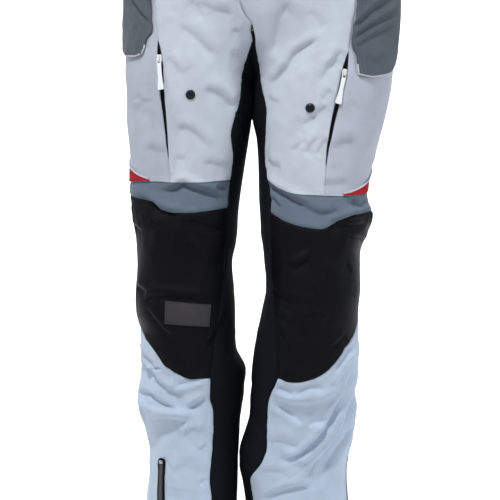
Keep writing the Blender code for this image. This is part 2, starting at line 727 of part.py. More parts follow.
def inner_panel(leg, cloths):
    """Inside leg panel. Its top follows the crotch seam from back to front."""
    def side_spots(seam, shift):
        spots = []
        for row in range(INNER_PANEL_TOP_ROW, CROTCH_FOOT_ROW + 1):
            angle, z = edge_spots(leg, row, seam, shift)
            spots.append((angle + 360 if seam == "inner_front" else angle, z))
        return spots

    back_side = side_spots("inner_back", HALF_SEAM)
    front_side = side_spots("inner_front", -HALF_SEAM)
    top = crotch_spots(leg, back_side[0], front_side[0])
    foot = []
    for step in range(INNER_COLUMNS + 1):
        angle = blend(back_side[-1][0], front_side[-1][0], step / INNER_COLUMNS)
        foot.append((angle, leg.row_heights[CROTCH_FOOT_ROW](angle)))
    grid = filled_patch(top, foot, back_side, front_side)
    for row in range(CROTCH_FOOT_ROW + 1, HEM_ROW + 1):
        start = edge_spots(leg, row, "inner_back", HALF_SEAM)[0]
        end = edge_spots(leg, row, "inner_front", -HALF_SEAM)[0] + 360
        angles = [blend(start, end, step / INNER_COLUMNS) for step in range(INNER_COLUMNS + 1)]
        grid.append([(angle, leg.row_heights[row](angle)) for angle in angles])
    return cloth(leg, f"{leg.name}_inner_panel", grid, cloths.stretch)


def crotch_spots(leg, start, end):
    spots = [start]
    for step in range(1, INNER_COLUMNS):
        angle = blend(start[0], end[0], step / INNER_COLUMNS)
        spots.append((angle, crotch_height(leg, angle)))
    return spots + [end]


def filled_patch(top, foot, left, right):
    """Grid between four edges, each row and column keeping its edge spots."""
    grid = []
    rows, columns = len(left) - 1, len(top) - 1
    for row in range(rows + 1):
        down = row / rows
        spots = []
        for column in range(columns + 1):
            over = column / columns
            spot = []
            for part in range(2):
                upright = blend(top[column][part], foot[column][part], down)
                level = blend(left[row][part], right[row][part], over)
                corner = blend(blend(top[0][part], top[-1][part], over),
                               blend(foot[0][part], foot[-1][part], over), down)
                spot.append(upright + level - corner)
            spots.append(tuple(spot))
        grid.append(spots)
    return grid


def hip_flap(leg, cloths):
    """Flap over the side of the hip, standing away a little at its lower edge, and its piping."""
    flap = leg.details.flap
    front, bottom = smooth_curve(flap.front), smooth_curve(flap.bottom)
    grid = []
    for row in range(FLAP_ROWS + 1):
        spots = []
        for column in range(FLAP_COLUMNS + 1):
            over = column / FLAP_COLUMNS
            z = blend(FLAP_TOP, bottom(over), row / FLAP_ROWS)
            spots.append((blend(angle_at(leg, front(z), z), flap.back_angle, over), z))
        grid.append(spots)
    cloth(leg, f"{leg.name}_hip_flap", grid, cloths.grey,
          lift=lambda down: COVER_GAP + WALL + FLAP_LIFT * down * down)
    piping = []
    for drop in (LAYER_GAP, LAYER_GAP + PIPING_HEIGHT):
        piping.append([(angle, z - drop) for angle, z in grid[-1]])
    cloth(leg, f"{leg.name}_flap_piping", piping, cloths.piping,
          lift=COVER_GAP + WALL + FLAP_LIFT, wall=PIPING_WALL)


def red_insert(leg, cloths):
    """Red wedge on the outer side above the band, with a pale cord along its upper edge."""
    red = leg.details.red
    start = angle_at(leg, red.point_x, leg.thigh_line(60.0))
    upper, lower, cord_top, cord_foot = [], [], [], []
    for column in range(RED_COLUMNS + 1):
        over = column / RED_COLUMNS
        angle = blend(start, OUTER_SEAM_ANGLE - 1.0, over)
        foot = leg.thigh_line(angle) + 2 * HALF_SEAM
        head = foot + RED_POINT_HEIGHT + red.rise * over
        lower.append((angle, foot))
        upper.append((angle, head))
        cord_foot.append((angle, head + LAYER_GAP))
        cord_top.append((angle, head + LAYER_GAP + PIPING_HEIGHT))
    middle = [(angle, (high + low) / 2) for (angle, high), (_, low) in zip(upper, lower)]
    cloth(leg, f"{leg.name}_red_insert", [upper, middle, lower], cloths.red,
          lift=red.gap + THIN_WALL, wall=THIN_WALL)
    cloth(leg, f"{leg.name}_red_piping", [cord_top, cord_foot], cloths.piping,
          lift=red.gap + WALL, wall=WALL)


def knee_patch(leg, cloths):
    grid = []
    for row in range(PATCH_ROWS + 1):
        spots = []
        for column in range(PATCH_COLUMNS + 1):
            over, down = column / PATCH_COLUMNS, row / PATCH_ROWS
            ends = [[blend(top, foot, down) for top, foot in zip(PATCH_TOP[side], PATCH_BOTTOM[side])]
                    for side in (1, 0)]
            distance = blend(ends[0][0], ends[1][0], over)
            height = blend(ends[0][1], ends[1][1], over)
            spots.append((angle_at(leg, distance, height), height))
        grid.append(spots)
    return cloth(leg, f"{leg.name}_knee_patch", grid, cloths.patch,
                 lift=COVER_GAP + TAPE_WALL, wall=TAPE_WALL)


def column_share(wall, row, column, neighbour, length):
    """Share of the way to the neighbouring column that a length along a row is."""
    here = wall_point(wall, row, column)[0]
    return length / (wall_point(wall, row, neighbour)[0] - here).length


def thigh_zip(leg, cloths):
    front, pocket = leg.walls[f"{leg.name}_front_thigh"], leg.walls[f"{leg.name}_pocket_panel"]
    spots = []
    for row in THIGH_TAPE_ROWS:
        front_share = column_share(front, row, FRONT_COLUMNS, FRONT_COLUMNS - 1, THIGH_TAPE_MARGIN)
        pocket_share = column_share(pocket, row, 0, 1, THIGH_TAPE_MARGIN)
        spots += [(front, row, FRONT_COLUMNS - front_share), (front, row, FRONT_COLUMNS)]
        spots += [(pocket, row, 0), (pocket, row, pocket_share)]
    strip_on_walls(leg, f"{leg.name}_thigh_zip_tape", spots, 4, -WALL - COVER_GAP, TAPE_WALL, cloths.tape)

    def spots_at(row):
        return [(front, row, FRONT_COLUMNS), (pocket, row, 0)]

    place = zip_frame(spots_at, row_at(spots_at, leg.details.thigh_zip.slider, THIGH_ROW), THIGH_ROW)
    base = -WALL - COVER_GAP + SLIDER_PLAY
    slider(f"{leg.name}_thigh_zip_slider", place, base, cloths.metal)
    pull(f"{leg.name}_thigh_zip_pull", place, base, THIGH_PULL_LENGTH, THIGH_PULL_END_WIDTH, cloths.pull)


def hem_zip(leg, cloths):
    shin = leg.walls[f"{leg.name}_shin_panel"]
    column = leg.details.hem_zip_column
    last = len(SHIN_SHARES) - 1

    def spots_at(row):
        return [(shin, row, column)]

    start = row_at(spots_at, HEM_ZIP_TOP, last)
    spots = []
    for row in [start] + [row for row in range(math.ceil(start), last + 1)]:
        shares = [column_share(shin, row, column, column + way, HEM_TAPE_WIDTH / 2) for way in (-1, 1)]
        spots += [(shin, row, column - shares[0]), (shin, row, column), (shin, row, column + shares[1])]
    tape_top = LAYER_GAP + TAPE_WALL
    strip_on_walls(leg, f"{leg.name}_hem_zip_tape", spots, 3, tape_top, TAPE_WALL, cloths.tape)
    base = tape_top + SLIDER_PLAY
    stop = zip_frame(spots_at, row_at(spots_at, HEM_ZIP_TOP - HEM_STOP_DROP, last), last)
    box_piece(f"{leg.name}_hem_zip_stop", stop, STOP_SIZE, base + STOP_SIZE[1] / 2, cloths.metal)
    place = zip_frame(spots_at, row_at(spots_at, HEM_ZIP_SLIDER, last), last)
    slider(f"{leg.name}_hem_zip_slider", place, base, cloths.metal)
    pull(f"{leg.name}_hem_zip_pull", place, base, HEM_PULL_LENGTH, HEM_PULL_END_WIDTH, cloths.metal)


def mean_point(spots):
    """Middle of some spots on walls, and the way out of the cloth there."""
    points = [wall_point(*spot) for spot in spots]
    middle = sum((point for point, _ in points), Vector()) / len(points)
    return middle, sum((out for _, out in points), Vector()).normalized()


def row_at(spots_at, z, last):
    """Row, with its fraction, where a line down the cloth is at a height."""
    return solve(lambda row: mean_point(spots_at(row))[0].z - z, 0.0, last)


def zip_frame(spots_at, row, last):
    """Frame on a zip: Y out of the cloth, Z up along the zip, X across it."""
    here, out = mean_point(spots_at(row))
    reach = 0.4
    above = mean_point(spots_at(max(row - reach, 0.0)))[0]
    below = mean_point(spots_at(min(row + reach, last)))[0]
    return standing_frame(here, out, above - below)


def standing_frame(here, out, up):
    up = (up - out * up.dot(out)).normalized()
    frame = Matrix((out.cross(up), out, up)).transposed().to_4x4()
    frame.translation = here
    return frame


def new_piece(name, shape, place, finish):
    mesh = bpy.data.meshes.new(name)
    bmesh.ops.recalc_face_normals(shape, faces=shape.faces)
    shape.to_mesh(mesh)
    shape.free()
    mesh.materials.append(finish)
    mesh.shade_smooth()
    mesh.set_sharp_from_angle(angle=math.radians(35))
    made = bpy.data.objects.new(name, mesh)
    made.matrix_world = place
    bpy.context.collection.objects.link(made)
    return made


def box_piece(name, place, size, height, finish):
    shape = bmesh.new()
    bmesh.ops.create_cube(shape, size=1.0)
    bmesh.ops.scale(shape, vec=size, verts=shape.verts)
    upper = [edge for edge in shape.edges if all(vert.co.y > 0 for vert in edge.verts)]
    bmesh.ops.bevel(shape, geom=upper, offset=min(size) * 0.3, segments=1, affect="EDGES")
    bmesh.ops.translate(shape, vec=(0.0, height, 0.0), verts=shape.verts)
    return new_piece(name, shape, place, finish)


def side_profile(shape, outline, width):
    """Extrudes an outline of (y, z) points across X, centred on the zip."""
    verts = [shape.verts.new((-width / 2, y, z)) for y, z in outline]
    face = shape.faces.new(verts)
    pushed = bmesh.ops.extrude_face_region(shape, geom=[face])["geom"]
    moved = [item for item in pushed if isinstance(item, bmesh.types.BMVert)]
    bmesh.ops.translate(shape, vec=(width, 0.0, 0.0), verts=moved)


def slider(name, place, base, finish):
    """Zip slider with its bridge, in one solid made from two extruded outlines."""
    top = base + SLIDER_HEIGHT
    half = SLIDER_LENGTH / 2
    body = bmesh.new()
    side_profile(body, ((base, -half), (base, half), (top - SLIDER_EDGE, half), (top, half - SLIDER_EDGE),
                        (top, -half + SLIDER_EDGE), (top - SLIDER_EDGE, -half)), SLIDER_WIDTH)
    made = new_piece(name, body, place, finish)
    reach = BRIDGE_LENGTH / 2
    sunk, clear, crown = top - BRIDGE_SUNK, top + BRIDGE_CLEAR, top + BRIDGE_CLEAR + BRIDGE_BAR
    bridge = bmesh.new()
    side_profile(bridge, ((sunk, -reach), (sunk, -reach + BRIDGE_POST), (clear, -reach + BRIDGE_POST),
                          (clear, reach - BRIDGE_POST), (sunk, reach - BRIDGE_POST), (sunk, reach),
                          (crown - SLIDER_EDGE, reach), (crown, reach - SLIDER_EDGE),
                          (crown, -reach + SLIDER_EDGE), (crown - SLIDER_EDGE, -reach)), BRIDGE_WIDTH)
    arch = new_piece(f"{name}_bridge_cutter", bridge, place, finish)
    arch.hide_render = True
    arch.display_type = "WIRE"
    join = made.modifiers.new("bridge", "BOOLEAN")
    join.operation = "UNION"
    join.object = arch
    return made


def pull(name, place, base, length, end_width, finish):
    """Pull tab with a window that the slider's bridge passes through. Its origin is the hinge."""
    axis_height = base + SLIDER_HEIGHT + BRIDGE_CLEAR / 2
    hinge = place @ Matrix.Translation((0.0, axis_height, 0.0))
    inner, outer = PULL_WINDOW_HALF_WIDTH, PULL_WINDOW_HALF_WIDTH + PULL_ARM
    half = PULL_THICKNESS / 2
    window = -PULL_WINDOW_LENGTH
    outline = [(-outer, PULL_BAR_RADIUS), (-outer, window), (-outer, window - PULL_NECK),
               (-end_width / 2, -length + PULL_FLARE), (-end_width / 2, -length + PULL_CORNER),
               (-end_width / 2 + PULL_CORNER, -length)]
    outline += [(-x, z) for x, z in reversed(outline)]
    hole = [(-inner, -PULL_BAR_RADIUS), (-inner, window), (inner, window), (inner, -PULL_BAR_RADIUS)]
    shape = bmesh.new()
    plate_with_window(shape, outline, hole, half)
    return new_piece(name, shape, hinge, finish)


def plate_with_window(shape, outline, hole, half):
    """Flat plate of an outline with one hole, both given as (x, z) points."""
    edges = []
    for loop in (outline, hole):
        verts = [shape.verts.new((x, -half, z)) for x, z in loop]
        for here, after in zip(verts, verts[1:] + verts[:1]):
            edges.append(shape.edges.new((here, after)))
    bmesh.ops.triangle_fill(shape, use_beauty=True, use_dissolve=False, edges=edges)
    pushed = bmesh.ops.extrude_face_region(shape, geom=list(shape.faces))["geom"]
    moved = [item for item in pushed if isinstance(item, bmesh.types.BMVert)]
    bmesh.ops.translate(shape, vec=(0.0, 2 * half, 0.0), verts=moved)


def round_piece(name, place, radius, height, base, finish):
    """Low round dome: a disc with a bevelled rim, standing out along Y."""
    shape = bmesh.new()
    bmesh.ops.create_cone(shape, cap_ends=True, segments=ROUND_SIDES, radius1=radius, radius2=radius,
                          depth=height)
    top = [edge for edge in shape.edges if all(vert.co.z > 0 for vert in edge.verts)]
    bmesh.ops.bevel(shape, geom=top, offset=height * 0.55, segments=2, affect="EDGES")
    turn = Matrix.Rotation(math.radians(-90), 3, "X")
    bmesh.ops.rotate(shape, cent=(0, 0, 0), matrix=turn, verts=shape.verts)
    bmesh.ops.translate(shape, vec=(0.0, base + height / 2, 0.0), verts=shape.verts)
    return new_piece(name, shape, place, finish)


def thigh_snap(leg, cloths):
    distance, height = leg.details.snap
    angle = angle_at(leg, distance, height)
    place = standing_frame(surface(leg, angle, height), surface_normal(leg, angle, height),
                           Vector((0.0, 0.0, 1.0)))
    return round_piece(f"{leg.name}_thigh_snap", place, SNAP_RADIUS, SNAP_HEIGHT,
                       leg.details.snap_gap, cloths.snap)


def band_point(angle, z):
    """Point on the waistband's outer side, by angle round the hips from the front."""
    sine, cosine = math.sin(angle), math.cos(angle)
    depth = HIP_DEPTH_CENTRE - HIP.front(z) if cosine > 0 else HIP.back(z) - HIP_DEPTH_CENTRE
    spread = abs(sine / HIP.half_width(z)) ** SQUARENESS + abs(cosine / depth) ** SQUARENESS
    radius = spread ** (-1 / SQUARENESS)
    return Vector((HIP.centre(z) + radius * sine, HIP_DEPTH_CENTRE - radius * cosine, z))


def waistband(cloths):
    """Open ring whose ends meet at the fly edge."""
    heights = (0.0, WAISTBAND_BOTTOM / 2, WAISTBAND_BOTTOM + 2 * HALF_SEAM)
    outer, inner = [], []
    for z in heights:
        start = solve(lambda angle: band_point(angle, z).x - (FLY_X(z) + HALF_SEAM), -1.0, 1.0)
        end = solve(lambda angle: band_point(angle, z).x - (FLY_X(z) - HALF_SEAM), -1.0, 1.0)
        for column in range(WAISTBAND_COLUMNS + 1):
            angle = blend(start, end + 2 * math.pi, column / WAISTBAND_COLUMNS)
            point = band_point(angle, z)
            across = band_point(angle + 0.01, z) - band_point(angle - 0.01, z)
            normal = across.cross(Vector((0.0, 0.0, 1.0))).normalized()
            outer.append(point)
            inner.append(point - normal * WAISTBAND_WALL)
    return wall_object("waistband", outer, inner, len(heights), WAISTBAND_COLUMNS + 1, cloths.grey, False)


def waist_button(cloths):
    z = WAISTBAND_BOTTOM / 2
    angle = solve(lambda turn: band_point(turn, z).x - BUTTON_X, -1.0, 1.0)
    across = (band_point(angle + 0.01, z) - band_point(angle - 0.01, z)).normalized()
    up = Vector((0.0, 0.0, 1.0))
    place = standing_frame(band_point(angle, z), across.cross(up).normalized(), up)
    return round_piece("waist_button", place, BUTTON_RADIUS, BUTTON_HEIGHT, LAYER_GAP * 2, cloths.metal)


def build_leg(leg, cloths):
    front_thigh(leg, cloths)
    pocket_panel(leg, cloths)
    lower_panels(leg, cloths)
    back_panel(leg, cloths)
    inner_panel(leg, cloths)
    hip_flap(leg, cloths)
    red_insert(leg, cloths)
    thigh_zip(leg, cloths)
    thigh_snap(leg, cloths)
    hem_zip(leg, cloths)


def main():
    clear_scene()
    cloths = make_materials()
    right = make_leg(
        "right", -1, RIGHT_LEG_ROWS, (RIGHT_INNER_FRONT_SEAM, RIGHT_INNER_BACK_SEAM, RIGHT_ZIP_LINE),
        (RIGHT_THIGH_LINE, RIGHT_BAND_LINE, RIGHT_KNEE_LINE), RIGHT_FOLDS,
        SimpleNamespace(thigh_zip=RIGHT_THIGH_ZIP, snap=RIGHT_SNAP, snap_gap=0.0010, flap=RIGHT_FLAP, red=RIGHT_RED,
                        hem_zip_column=FRONT_COLUMNS))
    left = make_leg(
        "left", 1, LEFT_LEG_ROWS, (LEFT_INNER_FRONT_SEAM, LEFT_INNER_BACK_SEAM, LEFT_ZIP_LINE),
        (LEFT_THIGH_LINE, LEFT_BAND_LINE, LEFT_KNEE_LINE), LEFT_FOLDS,
        SimpleNamespace(thigh_zip=LEFT_THIGH_ZIP, snap=LEFT_SNAP, snap_gap=0.0003, flap=LEFT_FLAP, red=LEFT_RED,
                        hem_zip_column=FRONT_COLUMNS + 4))
    for leg in (right, left):
        build_leg(leg, cloths)
    knee_patch(right, cloths)
    waistband(cloths)
    waist_button(cloths)


main()
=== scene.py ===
# Worn motorcycle trousers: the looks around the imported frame.
# Metres, +Z up, the front faces -Y. The origin is the middle of the waist opening.
# Angles go round each leg in degrees: 0 front, 90 outer side, 180 back, 270 inside.
import json
import math
from types import SimpleNamespace

import bpy
import bmesh
import numpy as np
from mathutils import Matrix, Vector
from mathutils.bvhtree import BVHTree


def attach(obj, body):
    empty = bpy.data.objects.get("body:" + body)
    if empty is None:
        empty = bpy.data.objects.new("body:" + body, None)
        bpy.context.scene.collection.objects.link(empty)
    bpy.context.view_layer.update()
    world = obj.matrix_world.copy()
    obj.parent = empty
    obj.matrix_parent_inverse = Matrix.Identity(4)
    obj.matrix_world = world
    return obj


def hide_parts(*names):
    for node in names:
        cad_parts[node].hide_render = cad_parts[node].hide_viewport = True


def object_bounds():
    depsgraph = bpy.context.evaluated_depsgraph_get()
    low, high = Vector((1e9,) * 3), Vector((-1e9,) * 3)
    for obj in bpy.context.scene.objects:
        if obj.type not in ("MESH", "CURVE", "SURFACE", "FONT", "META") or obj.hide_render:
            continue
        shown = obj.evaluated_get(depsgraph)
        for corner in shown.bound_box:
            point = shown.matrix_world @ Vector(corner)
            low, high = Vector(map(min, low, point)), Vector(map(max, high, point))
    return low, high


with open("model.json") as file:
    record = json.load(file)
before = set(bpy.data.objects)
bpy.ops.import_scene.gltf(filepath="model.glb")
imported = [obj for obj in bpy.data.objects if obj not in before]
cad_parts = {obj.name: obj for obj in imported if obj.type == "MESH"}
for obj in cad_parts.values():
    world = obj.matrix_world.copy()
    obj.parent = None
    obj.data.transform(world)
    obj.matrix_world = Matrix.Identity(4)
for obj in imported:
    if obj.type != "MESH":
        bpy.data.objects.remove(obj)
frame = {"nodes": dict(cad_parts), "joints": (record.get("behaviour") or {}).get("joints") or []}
cadLow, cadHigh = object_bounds()
bpy.ops.object.select_all(action="DESELECT")
scene = bpy.context.scene
mm = 0.001
print("frame loaded:", len(frame["nodes"]), "nodes")


# Camera: its height angle, its distance and the width of the picture at the garment

view = dict(elevation=3.0, distance=3.2, width=0.75, aim=(-0.003, 0.0, -0.5875), sensorMm=36,
            near=0.05, far=60)


def addCamera():
    aim = Vector(view["aim"])
    tilt = math.radians(view["elevation"])
    back = Vector((0, -math.cos(tilt), math.sin(tilt)))
    bpy.ops.object.camera_add(location=aim + back * view["distance"])
    camera = bpy.context.object
    camera.name = "photoCamera"
    camera.rotation_euler = (-back).to_track_quat("-Z", "Y").to_euler()
    camera.data.sensor_width = view["sensorMm"]
    camera.data.lens = view["sensorMm"] * view["distance"] / view["width"]
    camera.data.clip_start = view["near"]
    camera.data.clip_end = view["far"]
    scene.camera = camera


# Studio: a pale floor that curves up into a wall, and large soft lamps

studio = dict(
    floorDrop=0.012, halfWidth=2.4, front=2.6, wallAt=6.0, wallTop=7.0, curve=2.5, curveSteps=12,
    floorColour=(0.92, 0.92, 0.92), worldColour=(0.97, 0.98, 1.0), worldStrength=0.10, worldSeen=0.93,
    lamps=(  # place, aim, size, watts, colour
        ((-0.60, -2.1, 2.60), (0.0, 0.0, -0.5), 0.45, 114, (1.0, 0.985, 0.965)),
        ((2.6, -1.0, 0.7), (0.0, 0.0, -0.6), 1.4, 34, (0.95, 0.97, 1.0)),
        ((-2.6, -1.0, 0.7), (0.0, 0.0, -0.6), 1.4, 17, (0.98, 0.98, 1.0)),
        ((-2.9, 1.8, 1.6), (-0.8, 6.0, -0.4), 2.2, 270, (1.0, 1.0, 1.0)),
        ((2.9, 1.8, 1.6), (0.8, 6.0, -0.4), 2.2, 270, (1.0, 1.0, 1.0)),
    ))


def newPaint(name, settings):
    paint = bpy.data.materials.new(name)
    paint.use_nodes = True
    shader = paint.node_tree.nodes["Principled BSDF"]
    for key, value in settings.items():
        shader.inputs[key].default_value = value
    return paint, paint.node_tree, shader


def addStudio():
    scene.view_settings.view_transform = "Standard"
    world = bpy.data.worlds.new("studioLight")
    scene.world = world
    world.use_nodes = True
    glow = world.node_tree.nodes["Background"]
    glow.inputs["Color"].default_value = (*studio["worldColour"], 1)
    # past the floor's edge the picture is as pale as the floor, while the light stays low
    seen = world.node_tree.nodes.new("ShaderNodeLightPath")
    strength = world.node_tree.nodes.new("ShaderNodeMapRange")
    strength.inputs["To Min"].default_value = studio["worldStrength"]
    strength.inputs["To Max"].default_value = studio["worldSeen"]
    world.node_tree.links.new(seen.outputs["Is Camera Ray"], strength.inputs["Value"])
    world.node_tree.links.new(strength.outputs["Result"], glow.inputs["Strength"])
    low = cadLow.z - studio["floorDrop"]
    rows = [(-studio["front"], low), (studio["wallAt"] - studio["curve"], low)]
    for step in range(1, studio["curveSteps"] + 1):
        turn = math.radians(90 * step / studio["curveSteps"])
        rows.append((studio["wallAt"] - studio["curve"] * (1 - math.sin(turn)),
                     low + studio["curve"] * (1 - math.cos(turn))))
    rows.append((studio["wallAt"], studio["wallTop"]))
    bpy.ops.mesh.primitive_grid_add(x_subdivisions=2, y_subdivisions=len(rows) - 1, size=2)
    floor = bpy.context.object
    floor.name = "studioFloor"
    places = []
    for y, z in rows:
        places += [(-studio["halfWidth"], y, z), (0, y, z), (studio["halfWidth"], y, z)]
    floor.data.vertices.foreach_set("co", np.array(places, np.float32).ravel())
    floor.data.update()
    bpy.ops.object.shade_smooth()
    paint, _, _ = newPaint("paleFloor", {"Base Color": (*studio["floorColour"], 1), "Roughness": 0.9,
                                         "Specular IOR Level": 0.1})
    floor.data.materials.append(paint)
    for place, aim, size, watts, colour in studio["lamps"]:
        bpy.ops.object.light_add(type="AREA", location=place)
        lamp = bpy.context.object
        lamp.data.shape = "DISK"
        lamp.data.size = size
        lamp.data.energy = watts
        lamp.data.color = colour
        lamp.rotation_euler = (Vector(aim) - Vector(place)).to_track_quat("-Z", "Y").to_euler()


addCamera()
addStudio()
print("camera, floor and lamps set")


# Shape of the hips and the two legs, the same sections as the solids: pairs of height and size

hips = dict(
    centre=((-0.340, 0.0150), (-0.2125, 0.0150), (-0.150, 0.0110), (-0.090, 0.0060), (-0.045, 0.0020),
            (0, 0)),
    halfWidth=((-0.340, 0.2040), (-0.2125, 0.2040), (-0.150, 0.1960), (-0.090, 0.1830), (-0.045, 0.1750),
               (0, 0.1700)),
    front=((-0.340, -0.118), (-0.2125, -0.119), (-0.150, -0.118), (-0.090, -0.113), (-0.045, -0.108),
           (0, -0.105)),
    back=((-0.340, 0.136), (-0.2125, 0.150), (-0.150, 0.146), (-0.090, 0.132), (-0.045, 0.122), (0, 0.117)),
    depthCentre=0.010, furthest=0.6)
flyEdge = ((-0.2560, 0.0), (-0.2400, -0.0125), (-0.2220, -0.0190), (-0.1600, -0.0217), (0, -0.0217))

# Each leg row: height, outer side, inner side, front, back
rightLegRows = (
    (-1.0750, 0.1605, 0.0240, -0.069, 0.088),
    (-1.0300, 0.1600, 0.0240, -0.071, 0.089),
    (-0.9625, 0.1590, 0.0225, -0.075, 0.090),
    (-0.9250, 0.1560, 0.0210, -0.078, 0.090),
    (-0.8950, 0.1540, 0.0205, -0.081, 0.090),
    (-0.8575, 0.1600, 0.0186, -0.085, 0.088),
    (-0.8275, 0.1695, 0.0152, -0.089, 0.085),
    (-0.8005, 0.1725, 0.0115, -0.092, 0.082),
    (-0.7675, 0.1672, 0.0086, -0.097, 0.077),
    (-0.7300, 0.1660, 0.0233, -0.106, 0.071),
    (-0.7075, 0.1645, 0.0240, -0.110, 0.068),
    (-0.6775, 0.1720, 0.0245, -0.113, 0.066),
    (-0.6475, 0.1738, 0.0260, -0.113, 0.067),
    (-0.6055, 0.1725, 0.0287, -0.109, 0.072),
    (-0.5725, 0.1735, 0.0230, -0.106, 0.077),
    (-0.5350, 0.1785, 0.0204, -0.104, 0.083),
    (-0.4975, 0.1800, 0.0156, -0.106, 0.088),
    (-0.4525, 0.1815, 0.0090, -0.109, 0.094),
    (-0.4225, 0.1845, 0.0042, -0.112, 0.099),
    (-0.3925, 0.1865, 0.0008, -0.114, 0.104),
    (-0.3625, 0.1875, 0.0006, -0.116, 0.110),
    (-0.3025, 0.1883, 0.0006, -0.118, 0.125),
    (-0.2125, 0.1890, 0.0006, -0.118, 0.140),
    (0.0000, 0.1750, 0.0006, -0.105, 0.117),
)
leftLegRows = (
    (-1.0750, 0.1450, 0.0000, -0.065, 0.092),
    (-1.0300, 0.1430, -0.0040, -0.070, 0.090),
    (-0.9625, 0.1406, -0.0100, -0.080, 0.086),
    (-0.9325, 0.1388, -0.0150, -0.085, 0.083),
    (-0.9100, 0.1395, -0.0194, -0.090, 0.080),
    (-0.8920, 0.1425, -0.0194, -0.094, 0.077),
    (-0.8575, 0.1515, -0.0105, -0.102, 0.069),
    (-0.8275, 0.1555, -0.0039, -0.110, 0.062),
    (-0.7675, 0.1560, -0.0010, -0.127, 0.048),
    (-0.7300, 0.1560, 0.0027, -0.138, 0.040),
    (-0.6775, 0.1570, 0.0135, -0.147, 0.036),
    (-0.6355, 0.1605, 0.0210, -0.147, 0.041),
    (-0.5905, 0.1610, 0.0170, -0.144, 0.051),
    (-0.5605, 0.1690, 0.0128, -0.141, 0.058),
    (-0.5350, 0.1762, 0.0116, -0.139, 0.065),
    (-0.5065, 0.1694, 0.0098, -0.137, 0.072),
    (-0.4585, 0.1775, 0.0093, -0.133, 0.083),
    (-0.4225, 0.1880, 0.0069, -0.130, 0.091),
    (-0.3925, 0.1975, 0.0008, -0.127, 0.099),
    (-0.3625, 0.2037, 0.0006, -0.124, 0.107),
    (-0.3025, 0.2115, 0.0006, -0.118, 0.125),
    (-0.2125, 0.2193, 0.0006, -0.118, 0.140),
    (0.0000, 0.1750, 0.0006, -0.105, 0.117),
)

cut = dict(
    wall=0.0018, halfSeam=0.00015, waistbandBottom=-0.045, hem=-1.075, outerSeam=105.0,
    joinLow=-0.335, joinHigh=-0.200, centreLow=-0.400, centreHigh=-0.310, thighCentre=0.098, squareness=2.25,
    crotch=-0.254, crotchWithin=(-0.360, -0.200))

# Upright seams: pairs of height and distance outwards from the middle plane
rightSeams = dict(
    innerFront=((-1.0750, 0.0605), (-0.9535, 0.0596), (-0.9230, 0.0629), (-0.8707, 0.0579), (-0.8227, 0.0563),
                (-0.7984, 0.0616), (-0.7699, 0.0612), (-0.6919, 0.0506), (-0.6155, 0.0392), (-0.5221, 0.0349),
                (-0.4445, 0.0278), (-0.4168, 0.0306), (-0.3644, 0.0176), (-0.3278, 0.0137), (-0.2962, 0.0059),
                (-0.2520, 0.0002)),
    innerBack=((-1.0750, 0.0550), (-0.9000, 0.0520), (-0.7700, 0.0480), (-0.6600, 0.0520), (-0.4800, 0.0420),
               (-0.3600, 0.0320), (-0.3000, 0.0180), (-0.2520, 0.0002)),
    zip=((-1.0750, 0.1345), (-0.8923, 0.1339), (-0.7706, 0.1199), (-0.6421, 0.1170), (-0.5264, 0.1176),
         (-0.4819, 0.1189), (-0.4515, 0.1213), (-0.2783, 0.1360), (-0.2196, 0.1410), (-0.1300, 0.1325),
         (-0.0450, 0.1225)))
leftSeams = dict(
    innerFront=((-1.0750, 0.0100), (-0.9573, 0.0010), (-0.9261, -0.0030), (-0.8947, 0.0146),
                (-0.8691, 0.0214), (-0.8213, 0.0219), (-0.7967, 0.0254), (-0.7671, 0.0372),
                (-0.6894, 0.0326), (-0.6137, 0.0280),
                (-0.5284, 0.0258), (-0.4445, 0.0184), (-0.3791, 0.0203), (-0.3424, 0.0131), (-0.2962, 0.0077),
                (-0.2520, 0.0002)),
    innerBack=((-1.0750, 0.0300), (-0.9000, 0.0120), (-0.7700, 0.0280), (-0.6600, 0.0420), (-0.4800, 0.0400),
               (-0.3600, 0.0320), (-0.3000, 0.0180), (-0.2520, 0.0002)),
    zip=((-1.0750, 0.0950), (-0.8882, 0.0878), (-0.7667, 0.0953), (-0.6396, 0.1002), (-0.5538, 0.1021),
         (-0.5014, 0.1041), (-0.4613, 0.1061), (-0.2959, 0.1390), (-0.2203, 0.1504), (-0.1300, 0.1420),
         (-0.0450, 0.1280)))

# Cross seams: front points as distance and height, then the heights at 90, 180 and 270 degrees
rightLines = dict(
    thigh=(((0.0337, -0.4810), (0.0754, -0.4834), (0.1014, -0.4838), (0.1500, -0.4827)),
           -0.4850, -0.4840, -0.4810),
    band=(((0.0349, -0.5221), (0.0857, -0.5275), (0.1138, -0.5284), (0.1337, -0.5242), (0.1494, -0.5128)),
          -0.5040, -0.5110, -0.5221),
    knee=(((0.0612, -0.7699), (0.0891, -0.7722), (0.1016, -0.7676), (0.1257, -0.7523), (0.1404, -0.7351),
           (0.1527, -0.7203)), -0.6990, -0.7280, -0.7699))
leftLines = dict(
    thigh=(((0.0222, -0.4807), (0.0412, -0.4932), (0.0636, -0.5000), (0.1041, -0.5022), (0.1319, -0.5031)),
           -0.4955, -0.4840, -0.4807),
    band=(((0.0254, -0.5285), (0.0496, -0.5405), (0.0707, -0.5464), (0.0993, -0.5500), (0.1269, -0.5382),
           (0.1516, -0.5299)), -0.5260, -0.5240, -0.5285),
    knee=(((0.0376, -0.7676), (0.0520, -0.7724), (0.0650, -0.7736), (0.0832, -0.7705), (0.1040, -0.7604),
           (0.1243, -0.7412), (0.1377, -0.7224)), -0.6850, -0.7280, -0.7676))

